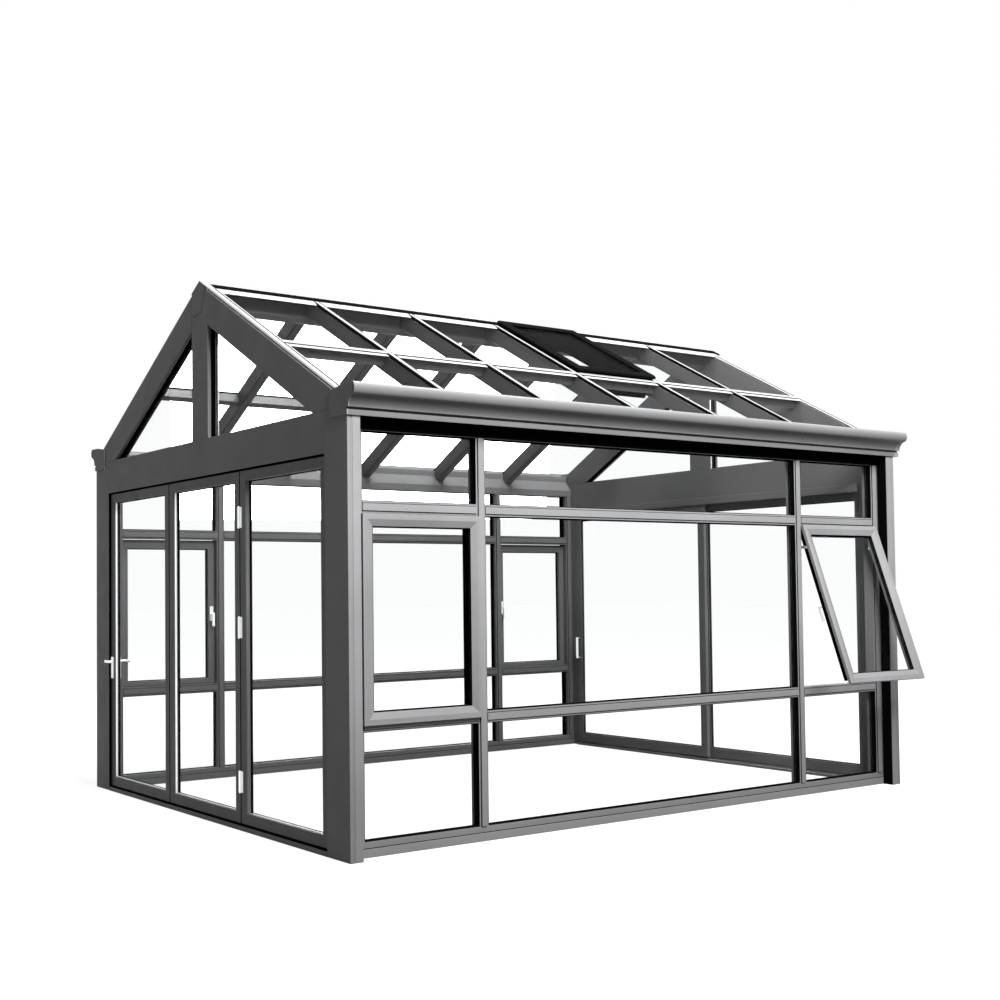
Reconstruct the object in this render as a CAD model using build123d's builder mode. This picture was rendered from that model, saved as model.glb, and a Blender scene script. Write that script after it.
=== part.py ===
from build123d import *

import os
from math import atan2, cos, radians, sin, tan

# Glass greenhouse: two portal gables, glazed long walls between them and a glazed pitched roof.
# X runs along the ridge, Y across it, Z up from the ground. Lengths are in millimetres.

os.makedirs("parts", exist_ok=True)

# Overall plan and heights
length = 4800.0
width = 4000.0
eaves_height = 2575.0
ridge_rise = 1045.0

# Portal gables
post_face = 265.0
post_depth = 85.0
post_flute_inset = 20.0
post_flute_width = 14.0
post_flute_depth = 3.0
beam_drop = 20.0
beam_depth = 250.0
king_width = 260.0
gable_rafter_drop = 235.0
gable_glass_inset = 55.0

# Roof members
rafter_bays = 6
rafter_width = 75.0
rafter_depth = 108.0
rafter_chamfer = 10.0
ridge_beam_width = 100.0
ridge_beam_depth = 165.0
ridge_beam_chamfer = 25.0
purlin_inset = 900.0
purlin_width = 60.0
purlin_depth = 70.0
bar_width = 50.0
bar_height = 20.0
bar_crown_width = 34.0
gable_bar_inset = 30.0
ridge_cap_side_width = 140.0
ridge_cap_far_overhang = 48.0
ridge_cap_round = 16.0
roof_glass_thickness = 12.0
roof_edge_inset = 60.0

# Roof window
skylight_after_bays = 3
curb_height = 35.0
curb_width = 45.0
skylight_sash_height = 25.0
skylight_sash_width = 68.0
skylight_lap = 12.0
skylight_bevel = 10.0
skylight_lining_depth = 90.0

# Eaves beam and moulded gutter
eaves_beam_drop = 143.0
eaves_beam_side = 60.0
eaves_seat_height = 88.0
eaves_lip_width = 25.0
gutter_drop = 75.0
gutter_height = 176.0
gutter_projection = 80.0
gutter_wall = 7.0
gutter_backing = 16.0
gutter_band_out = 12.0
gutter_band_height = 31.0
gutter_groove_out = 2.0
gutter_groove_height = 13.0
gutter_cove_out = 26.0
gutter_cove_height = 64.0
gutter_roll_out = 70.0
gutter_roll_height = 20.0
gutter_end_thickness = 8.0
gutter_return_thickness = 48.0
gutter_end_length = 190.0
gutter_end_flat = 40.0
gutter_end_drop = 20.0

# Long walls
wall_inset = 90.0
wall_depth = 100.0
jamb_width = 65.0
mullion_width = 65.0
mullion_offset = 980.0
sill_height = 90.0
sill_base = 50.0
lower_transom_top = 780.0
top_light_height = 404.0
transom_height = 70.0
strip_width = 14.0
strip_step = 8.0
wall_glass_thickness = 12.0

# Wall windows
sash_face = 72.0
sash_proud = 25.0
sash_body_depth = 45.0
sash_side_lap = 15.0
sash_bottom_lap = 33.0
sash_gap = 4.0
sash_bevel_width = 40.0
sash_bevel_depth = 16.0
sash_open_angle = 20.0
window_handle_height = 1350.0
window_plate_length = 120.0
window_plate_width = 30.0
window_plate_thickness = 8.0
window_neck_radius = 8.0
window_neck_length = 30.0
window_lever_length = 115.0
window_lever_width = 18.0
window_lever_thickness = 12.0
stay_drop_share = 0.13
stay_width = 20.0
stay_end_inset = 8.0

# Folding door
door_gap = 4.0
threshold_height = 30.0
leaf_inset = 18.0
leaf_depth = 50.0
leaf_stile = 80.0
leaf_top_rail = 73.0
leaf_bottom_rail = 83.0
leaf_bevel = 3.0
leaf_count = 3
door_glass_thickness = 12.0
hinge_bottom_inset = 275.0
hinge_top_inset = 304.0
hinge_middle_share = 0.582
hinge_length = 135.0
hinge_plate_width = 62.0
hinge_plate_thickness = 3.0
hinge_barrel_radius = 7.0
hinge_barrel_offset = 5.0
door_handle_height = 950.0
door_plate_width = 40.0
door_plate_length = 165.0
door_plate_thickness = 8.0
door_neck_rise = 50.0
door_neck_radius = 8.0
door_neck_length = 44.0
door_lever_length = 118.0
door_lever_width = 20.0
door_lever_thickness = 14.0

# Sliding door
track_depth = 110.0
track_height = 20.0
track_rib_width = 8.0
track_rib_height = 10.0
track_spacing = 50.0
track_outer_inset = 30.0
head_thickness = 30.0
guide_height = 30.0
slide_leaf_depth = 34.0
slide_stile = 78.0
slide_rail = 84.0
slide_overlap = 80.0
slide_clearance = 5.0
roller_radius = 14.0
roller_width = 12.0
roller_slot_depth = 27.0
roller_inset = 160.0
pull_height = 946.0
pull_length = 206.0
pull_radius = 8.0
pull_standoff = 26.0

# Seats
fit = 0.3

half_length = length / 2
half_width = width / 2
ridge_height = eaves_height + ridge_rise
pitch = atan2(ridge_rise, half_width)
beam_top = eaves_height - beam_drop
beam_bottom = beam_top - beam_depth
eaves_beam_bottom = eaves_height - eaves_beam_drop
gutter_bottom = eaves_height - gutter_drop
gutter_top = gutter_bottom + gutter_height
upper_transom_top = eaves_beam_bottom - top_light_height
upper_transom_bottom = upper_transom_top - transom_height
lower_transom_bottom = lower_transom_top - transom_height
wall_inner = wall_inset + wall_depth
inner_end = half_length - post_depth
gable_starts = (-half_length, inner_end)

sash_top = upper_transom_bottom - sash_gap
sash_bottom = lower_transom_top - sash_bottom_lap
sash_height = sash_top - sash_bottom
window_left = post_depth + jamb_width
window_right = mullion_offset - mullion_width / 2
window_span = window_right - window_left
sash_width = window_span + 2 * sash_side_lap
open_turn = radians(sash_open_angle)
sash_reach = sash_height * sin(open_turn) + sash_proud * cos(open_turn) - wall_inset

# The open window reaches further out than the gutter, so the plan is moved to centre the whole box.
plan_y = (sash_reach - gutter_projection) / 2

rafter_pitch = (length - post_depth) / rafter_bays
rafter_xs = [rafter_pitch * i - (length - post_depth) / 2 for i in range(1, rafter_bays)]
bar_xs = [gable_bar_inset - half_length, *rafter_xs, half_length - gable_bar_inset]

SIDES = (-1, 1)
ENDS = (-1, 1)


def wall_y(side, inset):
    """Y of a plane that lies inset from the outer edge of the posts of one long side."""
    return plan_y + side * (half_width - inset)


def roof_z(inset):
    """Height of the rafters' top plane at an inset from the outer edge of the posts."""
    return eaves_height + inset * tan(pitch)


def wall_outline(side, outline):
    """Points of a cross-section on one long side, from pairs of inset and height."""
    return [(wall_y(side, inset), z) for inset, z in outline]


def roof_point(side, inset, depth):
    """Point of the roof's cross-section, depth below the rafters' top plane and square to it."""
    y = wall_y(side, inset) - side * depth * sin(pitch)
    return (y, roof_z(inset) - depth * cos(pitch))


def slope_plane(side):
    """Rafters' top plane of one slope: local Y runs up the slope to zero at the ridge line."""
    return Plane(
        origin=(0, plan_y, ridge_height),
        x_dir=(-side, 0, 0),
        z_dir=(0, side * sin(pitch), cos(pitch)),
    )


def slope_axis(side):
    """Axis up one slope, along its rafters."""
    return Axis((0, plan_y, ridge_height), (0, -side * cos(pitch), sin(pitch)))


def normal_axis(side):
    """Axis square to one slope, pointing out of the roof."""
    return Axis((0, plan_y, ridge_height), (0, side * sin(pitch), cos(pitch)))


def slope_run(inset):
    """Distance down the slope from the ridge line to an inset from the posts' outer edge."""
    return (half_width - inset) / cos(pitch)


def sash_plane(x, side, turn):
    """Outer plane of a wall window: its origin is the middle of the hinge edge at the top."""
    return Plane(
        origin=(x, wall_y(side, wall_inset), sash_top),
        x_dir=(-side, 0, 0),
        z_dir=(0, side * cos(turn), sin(turn)),
    )


def keep(piece, node):
    """Label a finished piece and write it as a node of its own."""
    piece.part.label = node
    export_step(piece.part, f"parts/{node}.step")


def middle(low, high):
    return (low + high) / 2


def stepped_bar(low, high, near, far):
    """Outline of a frame bar whose glazing strips stand back from its middle face on both sides."""
    return [
        (low, near + strip_step),
        (low + strip_width, near + strip_step),
        (low + strip_width, near),
        (high - strip_width, near),
        (high - strip_width, near + strip_step),
        (high, near + strip_step),
        (high, far - strip_step),
        (high - strip_width, far - strip_step),
        (high - strip_width, far),
        (low + strip_width, far),
        (low + strip_width, far - strip_step),
        (low, far - strip_step),
    ]


# Corner posts, each with a shallow flute up its long-wall face
with BuildPart() as corner_posts:
    with BuildSketch():
        for side in SIDES:
            for start in gable_starts:
                with Locations((start + post_depth / 2, wall_y(side, post_face / 2))):
                    Rectangle(post_depth, post_face)
        for side in SIDES:
            for end in ENDS:
                flute_x = end * (half_length - post_flute_inset - post_flute_width / 2)
                with Locations((flute_x, wall_y(side, post_flute_depth / 2))):
                    Rectangle(post_flute_width, post_flute_depth, mode=Mode.SUBTRACT)
    extrude(amount=beam_top)
keep(corner_posts, "corner_posts")

# Gable tie beams between the posts
with BuildPart() as gable_beams:
    for start in gable_starts:
        with BuildSketch(Plane.YZ.offset(start)):
            with Locations((plan_y, middle(beam_bottom, beam_top))):
                Rectangle(width - 2 * post_face, beam_depth)
        extrude(amount=post_depth)
keep(gable_beams, "gable_beams")

# King posts, cut to both slopes at the top
king_inset = half_width - king_width / 2
king_outline = [
    (wall_y(-1, king_inset), beam_top),
    (wall_y(1, king_inset), beam_top),
    (wall_y(1, king_inset), roof_z(king_inset)),
    (plan_y, ridge_height),
    (wall_y(-1, king_inset), roof_z(king_inset)),
]
with BuildPart() as king_posts:
    for start in gable_starts:
        with BuildSketch(Plane.YZ.offset(start)):
            Polygon(*king_outline, align=None)
        extrude(amount=post_depth)
keep(king_posts, "king_posts")

# Raking gable rafters, with level heels on the posts and beams
heel_inset = (gable_rafter_drop - beam_drop) / tan(pitch)
rafter_outline = [
    (0, beam_top),
    (0, eaves_height),
    (king_inset, roof_z(king_inset)),
    (king_inset, roof_z(king_inset) - gable_rafter_drop),
    (heel_inset, beam_top),
]
with BuildPart() as gable_rafters:
    for start in gable_starts:
        for side in SIDES:
            with BuildSketch(Plane.YZ.offset(start)):
                Polygon(*wall_outline(side, rafter_outline), align=None)
            extrude(amount=post_depth)
keep(gable_rafters, "gable_rafters")

# Gable glass, one triangle each side of each king post, set back from the gable's outer face
pane_toe = heel_inset + fit / tan(pitch) + fit / sin(pitch)
pane_heel = king_inset - fit
pane_outline = [
    (pane_toe, beam_top + fit),
    (pane_heel, beam_top + fit),
    (pane_heel, beam_top + fit + (pane_heel - pane_toe) * tan(pitch)),
]
pane_face = half_length - gable_glass_inset
with BuildPart() as gable_glass:
    for start in (-pane_face, pane_face - wall_glass_thickness):
        for side in SIDES:
            with BuildSketch(Plane.YZ.offset(start)):
                Polygon(*wall_outline(side, pane_outline), align=None)
            extrude(amount=wall_glass_thickness)
keep(gable_glass, "gable_glass")

# Eaves beams: a sloped seat for the rafters' feet, and a lip under the edge of the roof glass
seat_low = eaves_beam_bottom + eaves_beam_side
seat_high = seat_low + eaves_seat_height
lip_inset = wall_inset + eaves_lip_width
eaves_outline = [
    (wall_inset, eaves_beam_bottom),
    (wall_inner, eaves_beam_bottom),
    (wall_inner, seat_low),
    (lip_inset, seat_high),
    (lip_inset, roof_z(lip_inset)),
    (wall_inset, roof_z(wall_inset)),
]
with BuildPart() as eaves_beams:
    for side in SIDES:
        with BuildSketch(Plane.YZ.offset(-inner_end)):
            Polygon(*wall_outline(side, eaves_outline), align=None)
        extrude(amount=2 * inner_end)
keep(eaves_beams, "eaves_beams")

# Gutters: the outer line of the moulding has a band, a groove, a cove, a roll and a lip
groove_low = gutter_bottom + gutter_band_height
groove_high = groove_low + gutter_groove_height
cove_top = groove_high + gutter_cove_height
roll_top = cove_top + gutter_roll_height
bed_edge = gutter_band_out - gutter_backing
bed_top = gutter_bottom + gutter_wall


def reach_points(side, line):
    """Points of a gutter's section, from pairs of reach outside the posts' outer edge and height."""
    return [(wall_y(side, -reach), z) for reach, z in line]


def upright_arc_radius(run, rise):
    """Radius of an arc over a run and a rise that stands upright at one end."""
    return (run * run + rise * rise) / (2 * run)


def draw_moulding(side):
    """Outer line of a gutter's section, from its bottom edge up to the top of its lip."""
    band = [
        (gutter_band_out, gutter_bottom),
        (gutter_band_out, groove_low),
        (gutter_groove_out, groove_low),
        (gutter_groove_out, groove_high),
        (gutter_cove_out, groove_high),
    ]
    curves = [(gutter_cove_out, groove_high), (gutter_roll_out, cove_top), (gutter_projection, roll_top)]
    cove_foot, cove_head, roll_head = reach_points(side, curves)
    cove_radius = upright_arc_radius(gutter_roll_out - gutter_cove_out, gutter_cove_height)
    roll_radius = upright_arc_radius(gutter_projection - gutter_roll_out, gutter_roll_height)
    Polyline(*reach_points(side, band))
    RadiusArc(cove_foot, cove_head, side * cove_radius)
    RadiusArc(cove_head, roll_head, -side * roll_radius)
    Line(roll_head, *reach_points(side, [(gutter_projection, gutter_top)]))


trough_line = [
    (gutter_projection, gutter_top),
    (gutter_projection - gutter_wall, gutter_top),
    (bed_edge, groove_high),
    (bed_edge, gutter_bottom),
    (gutter_band_out, gutter_bottom),
]
with BuildPart() as gutter_mouldings:
    for side in SIDES:
        with BuildSketch(Plane.YZ.offset(-half_length)):
            with BuildLine():
                draw_moulding(side)
                Polyline(*reach_points(side, trough_line))
            make_face()
        extrude(amount=length)
        for start in gable_starts:
            with BuildSketch(Plane.YZ.offset(start)):
                with Locations((wall_y(side, post_face / 2), middle(gutter_bottom, gutter_top))):
                    Rectangle(post_face, gutter_height)
            extrude(amount=post_depth, mode=Mode.SUBTRACT)
keep(gutter_mouldings, "gutter_mouldings")

# Gutter beds, from the moulding back to the eaves beam
with BuildPart() as gutter_beds:
    for side in SIDES:
        with BuildSketch(Plane.YZ.offset(-inner_end)):
            with Locations((wall_y(side, middle(-bed_edge, wall_inset)), middle(gutter_bottom, bed_top))):
                Rectangle(wall_inset + bed_edge, gutter_wall)
        extrude(amount=2 * inner_end)
keep(gutter_beds, "gutter_beds")

# Shaped ends on the gable faces: plates at the folding door's gable, deeper returns at the other
end_line = [
    (gutter_projection, gutter_top),
    (-gutter_end_flat, gutter_top),
    (-gutter_end_length, gutter_top - gutter_end_drop),
    (-gutter_end_length, gutter_bottom),
    (gutter_band_out, gutter_bottom),
]
with BuildPart() as gutter_end_plates:
    for side in SIDES:
        for start, outward in ((-half_length, -gutter_end_thickness), (half_length, gutter_return_thickness)):
            with BuildSketch(Plane.YZ.offset(start)):
                with BuildLine():
                    draw_moulding(side)
                    Polyline(*reach_points(side, end_line))
                make_face()
            extrude(amount=outward)
keep(gutter_end_plates, "gutter_end_plates")

# Ridge beam between the king posts, with chamfered lower corners
ridge_half = ridge_beam_width / 2
ridge_side_inset = half_width - ridge_half
ridge_shoulder = roof_z(ridge_side_inset)
ridge_beam_bottom = ridge_shoulder - ridge_beam_depth
with BuildPart() as ridge_beam:
    with BuildSketch(Plane.YZ.offset(-inner_end)):
        Polygon(
            (plan_y, ridge_height),
            (plan_y + ridge_half, ridge_shoulder),
            (plan_y + ridge_half, ridge_beam_bottom + ridge_beam_chamfer),
            (plan_y + ridge_half - ridge_beam_chamfer, ridge_beam_bottom),
            (plan_y - ridge_half + ridge_beam_chamfer, ridge_beam_bottom),
            (plan_y - ridge_half, ridge_beam_bottom + ridge_beam_chamfer),
            (plan_y - ridge_half, ridge_shoulder),
            align=None,
        )
    extrude(amount=2 * inner_end)
keep(ridge_beam, "ridge_beam")

# Ridge cap, a rounded angle over both slopes
cap_foot_inset = half_width - ridge_cap_side_width * cos(pitch)
with BuildPart() as ridge_cap:
    with BuildSketch(Plane.YZ.offset(-half_length)):
        Polygon(
            roof_point(-1, cap_foot_inset, 0),
            roof_point(-1, cap_foot_inset, -bar_height),
            (plan_y, ridge_height + bar_height / cos(pitch)),
            roof_point(1, cap_foot_inset, -bar_height),
            roof_point(1, cap_foot_inset, 0),
            (plan_y, ridge_height),
            align=None,
        )
        fillet(vertices().sort_by(Axis.Y)[-1], radius=ridge_cap_round)
    extrude(amount=length + ridge_cap_far_overhang)
keep(ridge_cap, "ridge_cap")

# Rafters between the ridge beam and the eaves beams, where their feet are cut to the seat
rafter_drop = rafter_depth / cos(pitch)
seat_slope = eaves_seat_height / (wall_inner - lip_inset)
foot_inset = (seat_low + seat_slope * wall_inner + rafter_drop - eaves_height) / (tan(pitch) + seat_slope)
rafter_side = [
    (lip_inset, roof_z(lip_inset)),
    (ridge_side_inset, ridge_shoulder),
    (ridge_side_inset, ridge_shoulder - rafter_drop),
    (foot_inset, roof_z(foot_inset) - rafter_drop),
    (lip_inset, seat_high),
]
with BuildPart() as rafters:
    for side in SIDES:
        for x in rafter_xs:
            with BuildSketch(Plane.YZ.offset(x - rafter_width / 2)):
                Polygon(*wall_outline(side, rafter_side), align=None)
            extrude(amount=rafter_width)
    for side in SIDES:
        sloping_edges = rafters.edges().filter_by(slope_axis(side))
        chamfer(sloping_edges.group_by(normal_axis(side))[0], rafter_chamfer)
keep(rafters, "rafters")

# Purlins between the rafters, each with its glazing cap
purlin_edges = [-inner_end]
for x in rafter_xs:
    purlin_edges += [x - rafter_width / 2, x + rafter_width / 2]
purlin_edges.append(inner_end)
purlin_half = purlin_width / 2 * cos(pitch)
cap_half = bar_width / 2 * cos(pitch)


def bay_span(bay):
    """X where the panes and purlin cap of a roof bay start and stop, clear of the glazing bars."""
    return (bar_xs[bay] + bar_width / 2 + fit, bar_xs[bay + 1] - bar_width / 2 - fit)


def purlin_outline(side, half, depth):
    """Section of a purlin or its cap, between the rafters' top plane and a depth below it."""
    return [
        roof_point(side, purlin_inset - half, 0),
        roof_point(side, purlin_inset + half, 0),
        roof_point(side, purlin_inset + half, depth),
        roof_point(side, purlin_inset - half, depth),
    ]


with BuildPart() as purlins:
    for side in SIDES:
        for bay in range(rafter_bays):
            start, stop = purlin_edges[2 * bay], purlin_edges[2 * bay + 1]
            with BuildSketch(Plane.YZ.offset(start)):
                Polygon(*purlin_outline(side, purlin_half, purlin_depth), align=None)
            extrude(amount=stop - start)
            cap_start, cap_stop = bay_span(bay)
            with BuildSketch(Plane.YZ.offset(cap_start)):
                Polygon(*purlin_outline(side, cap_half, -bar_height), align=None)
            extrude(amount=cap_stop - cap_start)
keep(purlins, "purlins")

# Glazing bars up every rafter, with sloped shoulders
bar_top_run = ridge_cap_side_width + fit
bar_foot_run = slope_run(roof_edge_inset)
bar_shoulder = (bar_width - bar_crown_width) / 2
with BuildPart() as glazing_bars:
    for side in SIDES:
        for x in bar_xs:
            with BuildSketch(slope_plane(side)):
                with Locations((-side * x, -middle(bar_top_run, bar_foot_run))):
                    Rectangle(bar_width, bar_foot_run - bar_top_run)
            extrude(amount=bar_height)
    for side in SIDES:
        sloping_edges = glazing_bars.edges().filter_by(slope_axis(side))
        chamfer(sloping_edges.group_by(normal_axis(side))[-1], bar_shoulder)
keep(glazing_bars, "glazing_bars")

# Roof glass, an upper and a lower pane in every bay that has no roof window
purlin_run = slope_run(purlin_inset)
upper_runs = (bar_top_run, purlin_run - bar_width / 2 - fit)
lower_runs = (purlin_run + bar_width / 2 + fit, bar_foot_run)
with BuildPart() as roof_glass:
    for side in SIDES:
        for bay in range(rafter_bays):
            start, stop = bay_span(bay)
            for runs in (upper_runs, lower_runs):
                if side < 0 and bay == skylight_after_bays and runs is upper_runs:
                    continue
                top_run, foot_run = runs
                with BuildSketch(slope_plane(side)):
                    with Locations((-side * middle(start, stop), -middle(top_run, foot_run))):
                        Rectangle(stop - start, foot_run - top_run)
                extrude(amount=roof_glass_thickness)
keep(roof_glass, "roof_glass")

# Roof window: a curb on the rafters with a lining between them, a bevelled sash that laps it, and its pane
sky_start, sky_stop = bay_span(skylight_after_bays)
sky_top, sky_foot = upper_runs
sky_place = (middle(sky_start, sky_stop), -middle(sky_top, sky_foot))
sky_width = sky_stop - sky_start
sky_run = sky_foot - sky_top
lining_foot = purlin_run - purlin_width / 2 - fit
with BuildPart() as skylight_curb:
    with BuildSketch(slope_plane(-1)):
        with Locations(sky_place):
            Rectangle(sky_width, sky_run)
    extrude(amount=curb_height)
    with BuildSketch(slope_plane(-1)):
        with Locations((middle(sky_start, sky_stop), -middle(sky_top, lining_foot))):
            Rectangle(rafter_pitch - rafter_width - 2 * fit, lining_foot - sky_top)
    extrude(amount=-skylight_lining_depth)
    with BuildSketch(slope_plane(-1).offset(-skylight_lining_depth)):
        with Locations(sky_place):
            Rectangle(sky_width - 2 * curb_width, sky_run - 2 * curb_width)
    extrude(amount=skylight_lining_depth + curb_height, mode=Mode.SUBTRACT)
keep(skylight_curb, "skylight_curb")

sky_sash_width = sky_width + 2 * skylight_lap
sky_sash_run = sky_run + 2 * skylight_lap
sky_light_width = sky_sash_width - 2 * skylight_sash_width
sky_light_run = sky_sash_run - 2 * skylight_sash_width
with BuildPart() as skylight_sash:
    with BuildSketch(slope_plane(-1).offset(curb_height)):
        with Locations(sky_place):
            Rectangle(sky_sash_width, sky_sash_run)
            Rectangle(sky_light_width, sky_light_run, mode=Mode.SUBTRACT)
    extrude(amount=skylight_sash_height)
    sky_face = skylight_sash.faces().sort_by(normal_axis(-1))[-1]
    chamfer(sky_face.edges(), skylight_bevel)
keep(skylight_sash, "skylight_sash")

with BuildPart() as skylight_glass:
    with BuildSketch(slope_plane(-1).offset(curb_height)):
        with Locations(sky_place):
            Rectangle(sky_light_width - 2 * fit, sky_light_run - 2 * fit)
    extrude(amount=roof_glass_thickness)
keep(skylight_glass, "skylight_glass")

# Sills along both long walls, with the bead set back
sill_outline = [
    (wall_inset, 0),
    (wall_inner, 0),
    (wall_inner, sill_base),
    (wall_inner - strip_step, sill_base),
    (wall_inner - strip_step, sill_height),
    (wall_inset + strip_step, sill_height),
    (wall_inset + strip_step, sill_base),
    (wall_inset, sill_base),
]
with BuildPart() as wall_sills:
    for side in SIDES:
        with BuildSketch(Plane.YZ.offset(-inner_end)):
            Polygon(*wall_outline(side, sill_outline), align=None)
        extrude(amount=2 * inner_end)
keep(wall_sills, "wall_sills")

# Jambs and mullions of both long walls
mullion_x = half_length - mullion_offset
upright_spans = [
    (-inner_end, jamb_width - inner_end),
    (-mullion_x - mullion_width / 2, -mullion_x + mullion_width / 2),
    (mullion_x - mullion_width / 2, mullion_x + mullion_width / 2),
    (inner_end - jamb_width, inner_end),
]
with BuildPart() as wall_uprights:
    for side in SIDES:
        for low, high in upright_spans:
            outline = stepped_bar(low, high, wall_inset, wall_inner)
            with BuildSketch(Plane.XY.offset(sill_height)):
                Polygon(*[(x, wall_y(side, inset)) for x, inset in outline], align=None)
            extrude(amount=eaves_beam_bottom - sill_height)
keep(wall_uprights, "wall_uprights")

# Transoms in the three bays of both long walls
bay_spans = [(upright_spans[i][1], upright_spans[i + 1][0]) for i in range(len(upright_spans) - 1)]
transom_levels = [(lower_transom_bottom, lower_transom_top), (upper_transom_bottom, upper_transom_top)]
with BuildPart() as wall_transoms:
    for side in SIDES:
        for low, high in transom_levels:
            outline = stepped_bar(low, high, wall_inset, wall_inner)
            for start, stop in bay_spans:
                with BuildSketch(Plane.YZ.offset(start)):
                    Polygon(*[(wall_y(side, inset), z) for z, inset in outline], align=None)
                extrude(amount=stop - start)
keep(wall_transoms, "wall_transoms")

# Fixed glass of both long walls: low and high lights in every bay, and the large middle pane
middle_bay = len(bay_spans) // 2
low_lights = (sill_height, lower_transom_bottom)
window_lights = (lower_transom_top, upper_transom_bottom)
high_lights = (upper_transom_top, eaves_beam_bottom)
with BuildPart() as wall_glass:
    for side in SIDES:
        pane_y = wall_y(side, middle(wall_inset, wall_inner))
        for lights in (low_lights, window_lights, high_lights):
            for bay, (start, stop) in enumerate(bay_spans):
                if lights is window_lights and bay != middle_bay:
                    continue
                low, high = lights
                with BuildSketch(Plane.XY.offset(low + fit)):
                    with Locations((middle(start, stop), pane_y)):
                        Rectangle(stop - start - 2 * fit, wall_glass_thickness)
                extrude(amount=high - low - 2 * fit)
keep(wall_glass, "wall_glass")

# Wall windows: a lapping flange with a mitred bevel, a body inside the opening, glass and a lever
window_x = half_length - middle(window_left, window_right)
windows = [
    (-1, -1, "front_left", 0),
    (1, -1, "front_right", open_turn),
    (-1, 1, "back_left", 0),
    (1, 1, "back_right", 0),
]
flange_middle = -sash_height / 2
body_low = lower_transom_top + sash_gap - sash_top
body_high = -sash_gap
body_place = (0, middle(body_low, body_high))
body_width = window_span - 2 * sash_gap
light_width = sash_width - 2 * sash_face
light_height = sash_height - 2 * sash_face
for end, side, window_name, turn in windows:
    outer_plane = sash_plane(end * window_x, side, turn)
    with BuildPart() as sash:
        with BuildSketch(outer_plane):
            with Locations((0, flange_middle)):
                Rectangle(sash_width, sash_height)
        extrude(amount=sash_proud)
        with BuildSketch(outer_plane):
            with Locations(body_place):
                Rectangle(body_width, body_high - body_low)
        extrude(amount=-sash_body_depth)
        with BuildSketch(outer_plane.offset(-sash_body_depth)):
            with Locations((0, flange_middle)):
                Rectangle(light_width, light_height)
        extrude(amount=sash_body_depth + sash_proud, mode=Mode.SUBTRACT)
        with BuildSketch(outer_plane.offset(sash_proud - sash_bevel_depth)):
            with Locations((0, flange_middle)):
                Rectangle(light_width, light_height)
        with BuildSketch(outer_plane.offset(sash_proud)):
            with Locations((0, flange_middle)):
                Rectangle(light_width + 2 * sash_bevel_width, light_height + 2 * sash_bevel_width)
        loft(mode=Mode.SUBTRACT)
    keep(sash, f"{window_name}_sash")

with BuildPart() as window_glass:
    for end, side, _, turn in windows:
        with BuildSketch(sash_plane(end * window_x, side, turn).offset(-wall_glass_thickness)):
            with Locations((0, flange_middle)):
                Rectangle(light_width - 2 * fit, light_height - 2 * fit)
        extrude(amount=wall_glass_thickness)
keep(window_glass, "window_glass")

# Window levers stand on the inner face of the stile nearest the middle of the wall.
lever_stile = middle(light_width, body_width) / 2
lever_level = window_handle_height - sash_top
lever_middle = lever_level - (window_lever_length - window_lever_width) / 2
with BuildPart() as window_handles:
    for end, side, _, turn in windows:
        inner_face = sash_plane(end * window_x, side, turn).offset(-sash_body_depth)
        lever_x = end * side * lever_stile
        with BuildSketch(inner_face):
            with Locations((lever_x, lever_level)):
                Rectangle(window_plate_width, window_plate_length)
        extrude(amount=-window_plate_thickness)
        with BuildSketch(inner_face.offset(-window_plate_thickness)):
            with Locations((lever_x, lever_level)):
                Circle(window_neck_radius)
        extrude(amount=-window_neck_length)
        with BuildSketch(inner_face.offset(-window_plate_thickness - window_neck_length)):
            with Locations((lever_x, lever_middle)):
                SlotOverall(window_lever_length, window_lever_width, rotation=90)
        extrude(amount=-window_lever_thickness)
keep(window_handles, "window_handles")

# Stays of the open window, flat arms in the gaps between its stiles and the frame
stay_thickness = sash_gap - 2 * fit
stay_drop = stay_drop_share * sash_height
stay_length = sash_body_depth + stay_drop * tan(open_turn) - stay_end_inset
stay_foot_y = wall_y(-1, wall_inset + sash_body_depth)
with BuildPart() as window_stays:
    for edge in (window_x - window_span / 2 + fit, window_x + window_span / 2 - fit - stay_thickness):
        with BuildSketch(Plane.YZ.offset(edge)):
            with Locations((stay_foot_y - stay_length / 2, sash_top - stay_drop)):
                SlotOverall(stay_length, stay_width)
        extrude(amount=stay_thickness)
keep(window_stays, "window_stays")

# Folding door in the left gable: threshold, three glazed leaves, hinges and levers
door_low = wall_y(-1, post_face)
door_high = wall_y(1, post_face)
with BuildPart() as threshold:
    with BuildSketch():
        with Locations((-half_length + post_depth / 2, plan_y)):
            Rectangle(post_depth, door_high - door_low)
    extrude(amount=threshold_height)
keep(threshold, "folding_door_threshold")

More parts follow.
